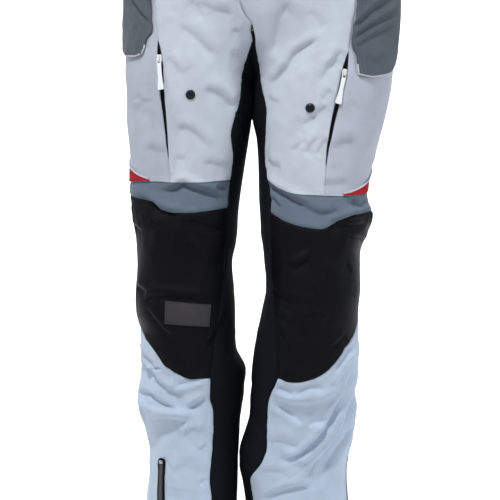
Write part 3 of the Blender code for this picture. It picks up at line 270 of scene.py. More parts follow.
# Creases, each a soft trough, or a ridge where the depth is below zero. The lip is the roll of cloth
# beside it, above the line, or below the line where it is less than zero.
# width mm, depth mm, lip mm, points as (angle, height mm)
rightCreases = (
    # thigh
    (9, 1.6, 0.8, ((-4, -221), (-9, -234), (-13, -250))),
    (10, 2.2, 1.4, ((4, -257), (-4, -269), (-13, -287), (-23, -307))),
    (7, 1.5, 1.2, ((13, -302), (7, -315), (1, -331))),
    (10, 1.8, 0.9, ((-8, -224), (-20, -237), (-31, -243))),
    (6, 1, 0.6, ((-31, -264), (-36, -268))),
    (6, 1.2, 0.7, ((-33, -298), (-41, -297))),
    (10, 2.6, 1.8, ((-11, -349), (-23, -356), (-31, -366), (-41, -378))),
    (8, 1.6, 1.2, ((9, -410), (1, -407), (-8, -417), (-19, -439))),
    (6, 1, 0.5, ((10, -449), (0, -452))),
    (6, 1, 0.5, ((-14, -456), (-34, -459))),
    (9, 1.4, 0.8, ((37, -436), (26, -439), (16, -444))),
    (10, 1.6, 0.6, ((42, -353), (41, -369), (50, -388))),
    (8, 1, 0.6, ((35, -376), (31, -391))),
    # band
    (6, 3.2, 1.8, ((26, -499), (9, -493), (2, -486), (-6, -492), (-19, -498), (-46, -513))),
    (6, 1.8, 0.8, ((-27, -492), (-42, -490))),
    (6, 2.8, 1.6, ((66, -502), (38, -509), (26, -519), (12, -528), (0, -532))),
    # knee
    (6, 2, 1.2, ((0, -537), (-13, -543), (-25, -548), (-48, -556))),
    (5, 1.5, 0.8, ((31, -539), (22, -547))),
    (6, 2.5, 1, ((73, -550), (47, -557))),
    (6, 2.2, 1.5, ((46, -658), (26, -650), (5, -651), (-31, -657))),
    (5, 1.5, 0.8, ((63, -638), (38, -644))),
    (5, 1.6, 1, ((-52, -660), (-39, -685), (-27, -708), (-17, -731))),
    (5, 1.4, 0.8, ((43, -664), (32, -682), (23, -699), (11, -713))),
    (5, 1.2, 0.6, ((0, -570), (-11, -588), (-22, -610))),
    (5, 1, 0.5, ((-14, -562), (-38, -569))),
    # shin
    (5, 2.2, 1.2, ((88, -727), (45, -744), (40, -761), (36, -771))),
    (5, 3.4, 2, ((88, -756), (52, -760), (32, -778), (18, -789), (3, -796))),
    (4.5, 2.6, -1.6, ((19, -788), (10, -780), (2, -777), (-13, -771))),
    (5, 3.6, 1.8, ((88, -799), (49, -796), (33, -804), (22, -812), (10, -817))),
    (4, 1.6, 1, ((54, -802), (44, -811), (34, -813), (23, -815))),
    (5, 3.6, 1.6, ((1, -817), (-7, -808), (-17, -798))),
    (7, -3.6, 0, ((88, -810), (47, -816), (28, -820), (12, -822), (-21, -825))),
    (9, 3, 0, ((80, -822), (53, -828), (70, -842))),
    (6, 2.6, 1.2, ((33, -834), (15, -833), (1, -837))),
    (14, 3.2, 0, ((5, -838), (20, -848), (38, -864), (73, -890))),
    (8, 1.4, 0.8, ((11, -864), (-2, -849), (-15, -849))),
    (5, 1.6, 0.8, ((-7, -880), (-15, -870))),
    (5, 1.4, 0.8, ((-8, -930), (-14, -920))),
    (7, 1.8, 0.8, ((88, -903), (75, -916), (55, -923))),
    (9, 1.8, 0.8, ((34, -891), (27, -900), (21, -913))),
    (10, 1.2, 0.4, ((23, -933), (23, -954))),
)
leftCreases = (
    # thigh
    (14, 3.6, 1.6, ((-15, -222), (-23, -239), (-27, -257), (-31, -281), (-36, -304))),
    (6, 2.6, 1.6, ((3, -273), (-8, -286), (-18, -300), (-24, -317), (-34, -334), (-44, -343))),
    (7, 2.4, 1.4, ((17, -292), (8, -312), (-1, -341))),
    (6, 1.6, 1, ((13, -305), (6, -322))),
    (6, 1.4, 0.8, ((7, -349), (-1, -368))),
    (8, 2, 1.5, ((6, -372), (-4, -387), (-14, -405))),
    (6, 1.8, 1.2, ((1, -414), (-6, -431), (-11, -444))),
    (6, 1.5, 1, ((5, -421), (-2, -446))),
    (6, 1.2, 0.8, ((-10, -421), (-21, -441))),
    (10, 2.2, 1.4, ((11, -438), (19, -427), (31, -428))),
    (7, 1.2, 0.6, ((11, -463), (19, -466))),
    (8, 1.2, 0.8, ((5, -488), (27, -484))),
    (9, 1.8, 0.6, ((-49, -452), (-40, -460), (-29, -463))),
    (7, 1.2, 0.8, ((-44, -362), (-32, -371))),
    (8, 1.2, 0.6, ((-7, -233), (-1, -253), (4, -262))),
    (9, 1.2, 0.5, ((46, -336), (46, -365), (43, -401))),
    (8, 1, 0.5, ((22, -365), (29, -382))),
    # band
    (6, 3.6, 2, ((-52, -483), (-31, -497), (-19, -507), (-3, -521))),
    (5, 1.8, 1, ((-46, -504), (-37, -512), (-31, -522))),
    (5, 2.8, 1.6, ((6, -542), (24, -535), (44, -529), (70, -525))),
    (5, 1.6, 0.8, ((34, -506), (44, -516), (54, -521))),
    (7, 1.8, 1, ((-12, -516), (4, -529), (22, -522))),
    (6, 1.6, 0.8, ((26, -513), (43, -510), (63, -515))),
    # knee
    (6, 2.2, 1.2, ((7, -549), (24, -546), (55, -545))),
    (6, -2, 0, ((-24, -604), (-13, -593), (-3, -583))),
    (5, 1.6, 0.8, ((-22, -609), (-12, -600), (-2, -591))),
    (5, 2, 1, ((30, -559), (41, -564), (88, -575))),
    (5, 1.6, 1, ((-36, -679), (-25, -681), (-16, -686))),
    (5, 1.6, 1, ((-35, -686), (-25, -707), (-14, -726))),
    (6, -1.5, 0, ((-21, -697), (-11, -699), (-1, -707))),
    (6, -1.2, 0, ((3, -667), (9, -673), (15, -679))),
    (5, 1.4, 0.8, ((22, -722), (30, -714), (40, -704))),
    (6, 1.8, 1, ((-51, -643), (-32, -651), (-12, -656), (9, -652))),
    (5, 1.2, 0.6, ((30, -598), (39, -618))),
    # shin
    (4.5, 3, -1.4, ((-29, -782), (-20, -786), (-10, -793))),
    (4.5, 3, -1.4, ((-9, -793), (-2, -787), (5, -783), (22, -783))),
    (7, -3.6, 0, ((-36, -792), (-21, -795), (-5, -799), (12, -796), (25, -788), (39, -773))),
    (6, 2.4, -1.2, ((-35, -807), (-20, -815), (-7, -828), (3, -837))),
    (6, 2.2, -1.2, ((3, -837), (12, -834), (26, -832))),
    (5, 4.6, 2.4, ((48, -785), (37, -804), (31, -819), (24, -841), (15, -862), (5, -881), (-5, -887),
                   (-19, -891))),
    (5, -3.4, 0, ((44, -810), (35, -828), (29, -849), (20, -870), (9, -890), (-6, -896))),
    (6, 5.4, 2.6, ((74, -796), (51, -820), (43, -851), (35, -876), (22, -894))),
    (10, 4.2, -1.6, ((66, -842), (52, -870), (41, -893), (31, -914))),
    (5, 2, 1.2, ((25, -887), (18, -906), (12, -926))),
    (9, 2.4, 1, ((-33, -866), (-16, -865), (4, -872))),
    (8, 1.6, 0.8, ((-41, -915), (-13, -910), (-5, -922))),
    (6, 3, 1.6, ((-39, -955), (-17, -941), (0, -933), (22, -932))),
    (10, 2.6, 0, ((34, -905), (25, -922), (16, -935))),
    (5, -2.2, 0, ((72, -725), (47, -741), (32, -763), (24, -782))),
    (5, 2, 0, ((52, -721), (40, -738), (29, -758))),
    (6, 1.6, 0.8, ((55, -761), (46, -781))),
    # beside the zip
    (4, -1.8, 0, ((81, -850), (81, -905), (81, -1010), (81, -1074))),
)
# Sides and back, which the picture hides: seat, hollow of the knee and calf
hiddenCreases = (
    (12, 3.0, 1.6, ((118, -352), (150, -366), (190, -372), (226, -360))),
    (9, 2.2, 1.2, ((132, -326), (158, -338), (182, -340))),
    (9, 2.0, 1.0, ((150, -392), (185, -398), (218, -386))),
    (10, 1.8, 0.8, ((205, -270), (192, -300), (180, -318))),
    (9, 1.6, 0.8, ((122, -268), (140, -292), (150, -312))),
    (7, 2.6, 1.6, ((116, -604), (142, -616), (176, -620), (214, -612), (236, -600))),
    (6, 2.8, 1.8, ((112, -648), (138, -640), (170, -646), (204, -640), (238, -650))),
    (6, 2.2, 1.4, ((124, -676), (156, -668), (188, -674), (222, -668))),
    (7, 1.8, 1.0, ((134, -578), (164, -588), (196, -584))),
    (6, 1.8, 1.0, ((98, -610), (112, -622), (128, -628))),
    (7, 2.4, 1.4, ((96, -772), (120, -790), (148, -800), (182, -802))),
    (6, 2.8, 1.6, ((104, -826), (134, -820), (168, -832), (206, -826), (238, -838))),
    (8, 2.2, 1.0, ((112, -862), (142, -874), (176, -868))),
    (7, 2.0, 1.2, ((196, -790), (222, -802), (246, -796))),
    (8, 1.6, 0.8, ((150, -918), (176, -932), (206, -928))),
    (9, 1.4, 0.6, ((120, -470), (140, -500), (150, -528))),
    (8, 1.4, 0.6, ((214, -456), (200, -486), (192, -512))),
    (6, 1.6, 0.8, ((256, -560), (276, -572), (296, -566))),
    (6, 1.6, 0.8, ((250, -636), (274, -646), (300, -640))),
    (6, 2.0, 1.0, ((248, -706), (272, -716), (298, -708))),
    (6, 2.2, 1.2, ((246, -770), (270, -784), (298, -778))),
    (6, 1.8, 1.0, ((250, -826), (276, -836), (300, -828))),
    (7, 1.4, 0.8, ((254, -880), (278, -888))),
    (7, 1.6, 0.8, ((258, -400), (274, -424), (280, -450))),
    (8, 1.4, 0.7, ((110, -404), (124, -430), (130, -452))),
)


def always(value):
    # a line that keeps one value everywhere
    return lambda place: np.full(np.shape(place), value)


def lineThrough(places, values):
    return lambda place: np.interp(place, places, values)


def curveThrough(points):
    # smooth line through (place, value) points in rising order, with no overshoot
    places = np.array([point[0] for point in points], float)
    values = np.array([point[1] for point in points], float)
    gaps = np.diff(places)
    slopes = np.diff(values) / gaps
    tangents = np.zeros(len(places))
    tangents[0], tangents[-1] = slopes[0], slopes[-1]
    before, after = slopes[:-1], slopes[1:]
    same = before * after > 0
    tangents[1:-1][same] = 2 * before[same] * after[same] / (before[same] + after[same])

    def value(place):
        place = np.clip(place, places[0], places[-1])
        at = np.clip(np.searchsorted(places, place, side="right") - 1, 0, len(gaps) - 1)
        t = (place - places[at]) / gaps[at]
        rise = values[at + 1] - values[at]
        startBend = gaps[at] * tangents[at] - rise
        endBend = rise - gaps[at] * tangents[at + 1]
        return values[at] + t * rise + t * (1 - t) * ((1 - t) * startBend + t * endBend)

    return value


def softStep(low, high, value):
    # 0 at low and 1 at high, whichever is the greater
    share = np.clip((value - low) / (high - low), 0, 1)
    return share * share * (3 - 2 * share)


def mix(start, end, share):
    return start + (end - start) * share


def bell(distance):
    return np.exp(-distance ** 2)


def unit(vectors):
    # the same directions, each of length one
    return vectors / np.linalg.norm(vectors, axis=-1, keepdims=True)


def alongCloth(vectors, outs):
    # the same headings, laid flat against the cloth
    return unit(vectors - outs * (vectors * outs).sum(-1, keepdims=True))


def findPlace(crossing, low, high, steps=30):
    # where crossing(place) changes sign, for whole arrays at once
    low, high = np.array(low, float), np.array(high, float)
    lowSign = crossing(low) > 0
    for _ in range(steps):
        middle = (low + high) / 2
        same = (crossing(middle) > 0) == lowSign
        low, high = np.where(same, middle, low), np.where(same, high, middle)
    return (low + high) / 2


hipCentre, hipHalf = curveThrough(hips["centre"]), curveThrough(hips["halfWidth"])
hipFront, hipBack = curveThrough(hips["front"]), curveThrough(hips["back"])
flyPlace = curveThrough(flyEdge)


def smoothLeg(leg, angle, z):
    # points of the leg's smooth outer side
    angle, z = np.broadcast_arrays(np.asarray(angle, float), np.asarray(z, float))
    sine, cosine = np.sin(np.radians(angle)), np.cos(np.radians(angle))
    outer, inner, front, back = leg.outer(z), leg.inner(z), leg.front(z), leg.back(z)
    share = softStep(cut["centreLow"], cut["centreHigh"], z)
    centreX = mix((outer + inner) / 2, cut["thighCentre"], share)
    centreY = (front + back) / 2
    width = np.where(sine > 0, outer - centreX, centreX - inner)
    power = cut["squareness"]
    radius = (np.abs(sine / width) ** power + np.abs(cosine / (centreY - front)) ** power) ** (-1 / power)
    join = softStep(cut["joinLow"], cut["joinHigh"], z)
    if np.any(join > 0):
        hipX, half = hipCentre(z), hipHalf(z)
        hipY = hips["depthCentre"]
        toFront, toBack = hipY - hipFront(z), hipBack(z) - hipY

        def outside(reach):
            x = (leg.side * (centreX + reach * sine) - hipX) / half
            y = centreY - reach * cosine - hipY
            return np.abs(x) ** power + np.abs(y / np.where(y > 0, toBack, toFront)) ** power - 1

        hipRadius = findPlace(outside, np.zeros(z.shape), np.full(z.shape, hips["furthest"]))
        radius = mix(radius, hipRadius, join)
    return np.stack([leg.side * (centreX + radius * sine), centreY - radius * cosine, z], -1)


def outwards(leg, angle, z):
    # from points a degree and a millimetre and a half to each side
    angle, z = np.asarray(angle, float), np.asarray(z, float)
    turn, rise = 1.0, 0.0015
    across = smoothLeg(leg, angle + turn, z) - smoothLeg(leg, angle - turn, z)
    up = smoothLeg(leg, angle, z + rise) - smoothLeg(leg, angle, z - rise)
    return unit(np.cross(across, up) * leg.side)


def turnPerMetre(leg, angle, z):
    # degrees for a metre of cloth round the leg
    return 1 / np.linalg.norm(smoothLeg(leg, angle + 1, z) - smoothLeg(leg, angle, z), axis=-1)


def angleAt(leg, distance, z, behind=False):
    # angle where the leg's front, or back, is this far from the middle plane
    distance, z = np.broadcast_arrays(np.asarray(distance, float), np.asarray(z, float))

    def beyond(angle):
        return leg.side * smoothLeg(leg, angle, z)[..., 0] - distance

    ends = (268.0, 92.0) if behind else (-88.0, 88.0)  # just short of the sides
    return findPlace(beyond, np.full(z.shape, ends[0]), np.full(z.shape, ends[1]))


def crossSeam(leg, line):
    front, outer, back, inner = line
    knots = [(-90.0, inner)]
    knots += [(float(angleAt(leg, distance, height)), height) for distance, height in front]
    knots += [(90.0, outer), (180.0, back), (270.0, inner)]
    curve = curveThrough(knots)
    return lambda angle: curve(np.where(np.asarray(angle) > 270, np.asarray(angle) - 360, angle))


def makeLeg(name, side, rows, seams, lines):
    leg = SimpleNamespace(name=name, side=side, shells={}, stitches={})
    leg.outer, leg.inner, leg.front, leg.back = [
        curveThrough([(row[0], row[column]) for row in rows]) for column in (1, 2, 3, 4)]
    leg.seams = {seam: curveThrough(points) for seam, points in seams.items()}
    leg.lines = {name: crossSeam(leg, line) for name, line in lines.items()}
    leg.lines.update(top=always(cut["waistbandBottom"]), hem=always(cut["hem"]))
    return leg


rightLeg = makeLeg("right", -1, rightLegRows, rightSeams, rightLines)
leftLeg = makeLeg("left", 1, leftLegRows, leftSeams, leftLines)
legs = (rightLeg, leftLeg)
print("leg shapes ready")


# Relief: listed creases laid over slow uneven swells

relief = dict(
    stepsPerCrease=26, reach=6, taper=0.22, steep=0.42, slow=1.5, blunt=0.22, rollAt=1.35, rollWidth=1.2,
    # the thighs' long soft creases are drawn faint in the lists, so they get more
    heights=(-1000, -750, -730, -545, -530, -485, -470, -200),
    strengths=(1.45, 1.45, 1.7, 1.7, 2.3, 2.3, 1.8, 1.8),
    # the inside of the leg shows against the gap, so it stays smoother
    hidden=2.4, inside=0.25, insideFrom=240)
swelling = dict(
    slowMm=1.3, slowSum=3.2, fineMm=0.35, fineSum=2.0, shinMm=0.9, seed=7,
    slow=((0.150, 1.0), (0.105, 0.9), (0.075, 0.6), (0.052, 0.5)),  # wavelength, share
    fine=((0.034, 1.0), (0.023, 0.7), (0.016, 0.45)),
    # calmer towards the gap between the legs, and round the hem zips, which hold the cloth
    inside=0.3, insideFade=(0.012, 0.050), zip=0.25, zipFade=(0.112, 0.126), zipTop=(-0.872, -0.892),
    # the fine swells follow the slow ones' bends, and come only where those stand out
    bendShare=0.5, bendTurn=0.7, follows=0.8, stands=(-1.0, 3.0))
shinFold = dict(
    waves=((0.047, 0.30, 1.0), (0.039, -0.42, 0.8), (0.061, 0.12, 0.9), (0.029, 0.5, 0.45)),
    bendX=(0.9, 0.042), bendY=(0.7, 0.037), comes=0.31, depthSlope=0.35,
    starts=(-0.735, -0.775), calms=(-0.86, -0.96), calm=0.45)


def smoothPath(points, steps):
    # smooth run through a crease's points
    points = np.array(points, float)
    ends = np.concatenate([[2 * points[0] - points[1]], points, [2 * points[-1] - points[-2]]])
    run = []
    count = len(points) - 1
    for share in np.linspace(0, count, steps):
        at = min(int(share), count - 1)
        t = share - at
        a, b, c, d = ends[at:at + 4]
        run.append(0.5 * (2 * b + (c - a) * t + (2 * a - 5 * b + 4 * c - d) * t ** 2
                          + (3 * b - a - 3 * c + d) * t ** 3))
    return np.array(run)


def layCreases(leg, rows, strength):
    laid = []
    for width, depth, lip, points in rows:
        run = smoothPath(points, relief["stepsPerCrease"])
        spots = run[:, 0], run[:, 1] * mm
        laid.append((width * mm, depth * mm * strength, lip * mm * strength, smoothLeg(leg, *spots),
                     outwards(leg, *spots)))
    return laid


def creaseHeight(creases, places):
    flat = places.reshape(-1, 3)
    total = np.zeros(len(flat))
    for width, depth, lip, line, outs in creases:
        reach = relief["reach"] * width
        low, high = line.min(0) - reach, line.max(0) + reach
        near = np.flatnonzero(np.all((flat > low) & (flat < high), axis=1))
        if not len(near):
            continue
        points = flat[near]
        start, run = line[:-1], np.diff(line, axis=0)
        offset = points[:, None] - start[None]
        share = np.clip((offset * run).sum(-1) / (run * run).sum(-1), 0, 1)
        gap = offset - share[..., None] * run
        distance = np.linalg.norm(gap, axis=-1)
        best = distance.argmin(1)
        pick = np.arange(len(points))
        distance, gap = distance[pick, best], gap[pick, best]
        along = (best + share[pick, best]) / len(run)
        side = np.cross(outs[:-1][best], run[best])
        side *= np.where(side[:, 2:] < 0, -1, 1)  # the side that is higher up
        across = np.sign((gap * side).sum(-1)) * distance
        taper = softStep(0, relief["taper"], along) * softStep(0, relief["taper"], 1 - along)
        toLip = (across if lip >= 0 else -across) / width
        if depth < 0 or not lip:
            shape = -depth * bell(distance / width)
        else:
            # steep under the roll of cloth, a slow rise away from it
            slope = np.where(toLip > 0, relief["steep"], relief["slow"])
            valley = np.exp(-(np.sqrt(toLip ** 2 + relief["blunt"] ** 2) - relief["blunt"]) / slope)
            roll = bell((toLip - relief["rollAt"]) / relief["rollWidth"])
            shape = abs(lip) * roll - depth * valley
        total[near] += shape * taper
    return total.reshape(places.shape[:-1])


swellSeed = np.random.default_rng(swelling["seed"])


def randomPhase():
    return swellSeed.uniform(0, 2 * math.pi)


def makeWaves(bands, count):
    # waves that head in random directions, a few for each wavelength
    waves = []
    for wavelength, share in bands:
        for _ in range(count):
            heading = swellSeed.normal(size=3)
            heading *= 2 * math.pi / wavelength / np.linalg.norm(heading)
            waves.append((heading, randomPhase(), share))
    return waves


swells = makeWaves(swelling["slow"], 5)
smallSwells = makeWaves(swelling["fine"], 6)
shinFolds = []
for wavelength, slope, share in shinFold["waves"]:
    heading = np.array([slope, shinFold["depthSlope"] * slope, 1.0]) * 2 * math.pi / wavelength
    shinFolds.append((heading, randomPhase(), randomPhase(), share))


def shinFoldHeight(places):
    # loose cloth below the knee hangs in slanting folds that come and go
    x, y, z = places[..., 0], places[..., 1], places[..., 2]
    folds = np.zeros(z.shape)
    for heading, phase, otherPhase, share in shinFolds:
        come = 0.5 + 0.5 * np.sin(places @ (heading[[2, 0, 1]] * shinFold["comes"]) + otherPhase)
        bend = sum(amount * np.sin(part / length + start) for part, (amount, length), start in
                   ((x, shinFold["bendX"], otherPhase), (y, shinFold["bendY"], phase)))
        folds += share * come * np.sin(places @ heading + phase + bend)
    calm = mix(1.0, shinFold["calm"], softStep(*shinFold["calms"], z))
    return folds * softStep(*shinFold["starts"], z) * calm


def swellHeight(places):
    slow, fine, bend = [np.zeros(places.shape[:-1]) for _ in range(3)]
    for heading, phase, share in swells:
        slow += share * np.sin(places @ heading + phase)
        bend += swelling["bendShare"] * share * np.cos(places @ heading * swelling["bendTurn"] + phase)
    for heading, phase, share in smallSwells:
        fine += share * np.sin(places @ heading + phase + swelling["follows"] * bend)
    patchy = softStep(*swelling["stands"], slow)
    outwardX, z = np.abs(places[..., 0]), places[..., 2]
    calm = mix(swelling["inside"], 1.0, softStep(*swelling["insideFade"], outwardX))
    nearZip = softStep(*swelling["zipFade"], outwardX) * softStep(*swelling["zipTop"], z)
    calm = calm * mix(1.0, swelling["zip"], nearZip)
    return calm * mm * (swelling["slowMm"] * slow / swelling["slowSum"]
                        + swelling["fineMm"] * fine * patchy / swelling["fineSum"]
                        + swelling["shinMm"] * shinFoldHeight(places))


touching = dict(foot=-0.400, head=-0.372, top=-0.262, fade=0.02, reach=0.012, pressed=0.8, least=0.00012,
                sway=0.0045, wave=0.052, phase=0.6)


def pressTogether(leg, points):
    # inside the thighs the legs touch along one swaying line, so that nothing shows between them
    x, y, z = points[..., 0], points[..., 1], points[..., 2]
    near = 1 - softStep(0, touching["reach"], leg.side * x)
    near = near * softStep(touching["foot"], touching["head"], z)
    near = near * (1 - softStep(touching["top"] - touching["fade"], touching["top"], z))
    sway = touching["sway"] * np.sin(y / touching["wave"] * 2 * math.pi + touching["phase"])
    gap = np.maximum(leg.side * x * (1 - touching["pressed"] * near), touching["least"])
    return np.stack([np.where(near > 0, sway * near + leg.side * gap, x), y, z], -1)


def drape(leg, angle, z, lift=0.0):
    # points of the creased cloth, and the way out of it
    smooth, out = smoothLeg(leg, angle, z), outwards(leg, angle, z)
    height = creaseHeight(leg.creases, smooth) + swellHeight(smooth)
    return pressTogether(leg, smooth + out * (height + lift)[..., None]), out


for leg, rows in ((rightLeg, rightCreases), (leftLeg, leftCreases)):
    leg.creases = []
    for row in hiddenCreases:
        startAngle = row[3][0][0]
        kind = "inside" if startAngle > relief["insideFrom"] else "hidden"
        leg.creases += layCreases(leg, [row], relief[kind])
    for row in rows:
        startHeight = row[3][0][1]
        strength = float(np.interp(startHeight, relief["heights"], relief["strengths"]))
        leg.creases += layCreases(leg, [row], strength)
print("creases laid:", len(rightLeg.creases) + len(leftLeg.creases))


# Where each upright seam runs, in degrees for a height

thighZip = dict(
    right=dict(top=-0.2785, bottom=-0.4515, slider=-0.3050, width=0.0078),
    left=dict(top=-0.2960, bottom=-0.4615, slider=-0.3260, width=0.0087),
    fullness=1.1, bulge=0.65)


def zipOpening(leg, z):
    # widest by the slider and closed at both ends
    opening = thighZip[leg.name]
    above = (opening["top"] - z) / (opening["top"] - opening["slider"])
    below = (z - opening["bottom"]) / (opening["slider"] - opening["bottom"])
    share = np.clip(np.minimum(above, below) * thighZip["fullness"], 0, 1)
    return opening["width"] * share ** thighZip["bulge"]


def markSeams(leg):
    z = np.linspace(cut["hem"], cut["waistbandBottom"], 700)
    innerFront = angleAt(leg, leg.seams["innerFront"](z), z)
    fly = angleAt(leg, leg.side * flyPlace(z) + cut["halfSeam"], z)
    innerBack = angleAt(leg, leg.seams["innerBack"](z), z, behind=True)
    middleBack = angleAt(leg, np.full(z.shape, cut["halfSeam"]), z, behind=True)
    zipMiddle = angleAt(leg, leg.seams["zip"](z), z)
    half = (zipOpening(leg, z) / 2 + cut["halfSeam"]) * turnPerMetre(leg, zipMiddle, z)
    above = z > cut["crotch"]
    angles = dict(
        front=np.where(above, fly, innerFront), back=np.where(above, middleBack, innerBack),
        zipFront=zipMiddle - half, zipPocket=zipMiddle + half, zipMiddle=zipMiddle, innerBack=innerBack,
        innerFront=innerFront, innerFrontRound=innerFront + 360)
    leg.edges = {name: lineThrough(z, turns) for name, turns in angles.items()}
    leg.edges["outer"] = always(cut["outerSeam"])
    ends = [float(np.interp(cut["crotch"], z, turns)) for turns in (middleBack, fly + 360)]
    leg.lines["crotch"] = crotchLine(leg, *ends)


def crotchLine(leg, start, end):
    # heights where the inside of the leg meets the middle plane
    angles = np.linspace(start, end, 60)
    low, high = [np.full(angles.shape, height) for height in cut["crotchWithin"]]
    heights = findPlace(lambda z: leg.side * smoothLeg(leg, angles, z)[..., 0] - cut["halfSeam"], low, high)
    return lineThrough(angles, heights)


for leg in legs:
    markSeams(leg)
print("seams marked")


# Materials

def feed(tree, socket, value):
    if isinstance(value, bpy.types.NodeSocket):
        tree.links.new(value, socket)
    else:
        socket.default_value = value


def addNode(tree, kind, **inputs):
    node = tree.nodes.new(kind)
    for name, value in inputs.items():
        feed(tree, node.inputs[name], value)
    return node


def addMath(tree, operation, *values):
    node = tree.nodes.new("ShaderNodeMath")
    node.operation = operation
    for socket, value in zip(node.inputs, values):
        feed(tree, socket, value)
    return node.outputs[0]


def addNoise(tree, scale, detail):
    place = addNode(tree, "ShaderNodeTexCoord").outputs["Object"]
    return addNode(tree, "ShaderNodeTexNoise", Vector=place, Scale=scale, Detail=detail).outputs["Fac"]


def tint(tree, shader, factor, colour, shades, ends=(0.0, 1.0)):
    # the colour runs from a darker shade to a lighter one
    ramp = addNode(tree, "ShaderNodeValToRGB", Fac=factor)
    for element, place, shade in zip(ramp.color_ramp.elements, ends, shades):
        element.position = place
        element.color = (*[min(part * shade, 1) for part in colour], 1)
    tree.links.new(ramp.outputs["Color"], shader.inputs["Base Color"])


def addBump(tree, shader, strength, height):
    bump = addNode(tree, "ShaderNodeBump", Strength=strength, Distance=0.0002, Height=height)
    tree.links.new(bump.outputs["Normal"], shader.inputs["Normal"])


def clothPaint(name, colour, pitch=0.0008, weave=0.25, roughness=0.85, sheen=0.08, specular=0.2):
    # woven cloth: a fine weave and fibres in the bump, faint uneven tone in the colour
    paint, tree, shader = newPaint(name, {"Roughness": roughness, "Specular IOR Level": specular,
                                          "Sheen Weight": sheen, "Sheen Roughness": 0.5})
    blotch, fleck = addNoise(tree, 38.0, 4.0), addNoise(tree, 900.0, 2.0)
    tone = addMath(tree, "MULTIPLY_ADD", blotch, 0.55, addMath(tree, "MULTIPLY_ADD", fleck, 0.45, 0.0))
    tint(tree, shader, tone, colour, (0.9, 1.06), (0.32, 0.68))
    along = addNode(tree, "ShaderNodeSeparateXYZ", Vector=addNode(tree, "ShaderNodeTexCoord").outputs["UV"])
    threads = []
    for axis in ("X", "Y"):
        turns = addMath(tree, "MULTIPLY", along.outputs[axis], 2 * math.pi / pitch)
        threads.append(addMath(tree, "SINE", turns))
    fuzz = 1.4
    height = addMath(tree, "MULTIPLY_ADD", fleck, fuzz, addMath(tree, "MULTIPLY", *threads))
    addBump(tree, shader, weave, height)
    return paint


def plainPaint(name, colour, roughness, metallic=0.0, specular=0.5, grain=0.0):
    # thread, metal or plastic, slightly worn
    paint, tree, shader = newPaint(name, {"Roughness": roughness, "Metallic": metallic,
                                          "Specular IOR Level": specular})
    wear = addNoise(tree, 420.0, 3.0)
    tint(tree, shader, wear, colour, (0.88, 1.06))
    if grain:
        addBump(tree, shader, grain, wear)
    return paint


paints = dict(
    light=clothPaint("lightGreyWeave", (0.50, 0.56, 0.64)),
    side=clothPaint("mauveGreyWeave", (0.435, 0.47, 0.56)),
    shin=clothPaint("paleBlueWeave", (0.46, 0.555, 0.69)),
    grey=clothPaint("midGreyWeave", (0.081, 0.100, 0.124)),
    band=clothPaint("slateWeave", (0.125, 0.165, 0.22)),
    stretch=clothPaint("blackStretchKnit", (0.0062, 0.0080, 0.0115), pitch=0.0012, weave=0.35, sheen=0,
                       specular=0.08),
    knee=clothPaint("blackKneeWeave", (0.0032, 0.0034, 0.0056), pitch=0.0014, weave=0.45, roughness=0.52,
                    sheen=0, specular=0.09),
    patch=clothPaint("darkPatch", (0.043, 0.041, 0.050), weave=0.12, roughness=0.6, sheen=0, specular=0.15),
    red=clothPaint("redWeave", (0.37, 0.015, 0.024), sheen=0, specular=0.1),
    piping=clothPaint("palePiping", (0.50, 0.51, 0.57), pitch=0.0010, roughness=0.6),
    tape=clothPaint("blackZipTape", (0.006, 0.007, 0.009), pitch=0.0007, weave=0.5, sheen=0, specular=0.1),
    lightThread=plainPaint("lightThread", (0.56, 0.61, 0.66), 0.6, specular=0.3),
    darkThread=plainPaint("darkThread", (0.006, 0.0065, 0.008), 0.6, specular=0.1),
    greyThread=plainPaint("greyThread", (0.16, 0.19, 0.23), 0.6, specular=0.3),
    nickel=plainPaint("dullNickel", (0.45, 0.46, 0.48), 0.34, metallic=1.0, grain=0.05),
    coil=plainPaint("blackCoil", (0.008, 0.009, 0.011), 0.42, specular=0.3),
    hemCoil=plainPaint("greyCoil", (0.105, 0.105, 0.112), 0.4, specular=0.4),
    whiteMetal=plainPaint("whiteMetal", (0.78, 0.80, 0.83), 0.35, specular=0.6),
    pull=plainPaint("whitePull", (0.82, 0.86, 0.90), 0.42, grain=0.04),
    snap=plainPaint("blackSnap", (0.007, 0.011, 0.016), 0.3, grain=0.03, specular=0.4))
print("materials made:", len(paints))


# Cloth panels: thin shells sewn edge to edge

sewing = dict(
    closeMm=(0, 0.8, 1.8, 3.0, 4.6), nextMm=6.8,  # rows of points beside a seam
    dipWidth=2.3, pucker=0.28, puckerReach=7.0, roll=0.25, rollAt=5.0, rollWidth=2.5,
    # gathers along a seam: their lengths, how they sway and mix, and how they come and go
    waves=(0.0111, 0.047, 0.0177, 0.131), sway=1.7, fine=0.7, least=0.35, comes=(-0.6, 0.9),
    fullTurn=6.283, seed=21, startHeight=-0.5, rounds=14)
puckerSeed = np.random.default_rng(sewing["seed"])

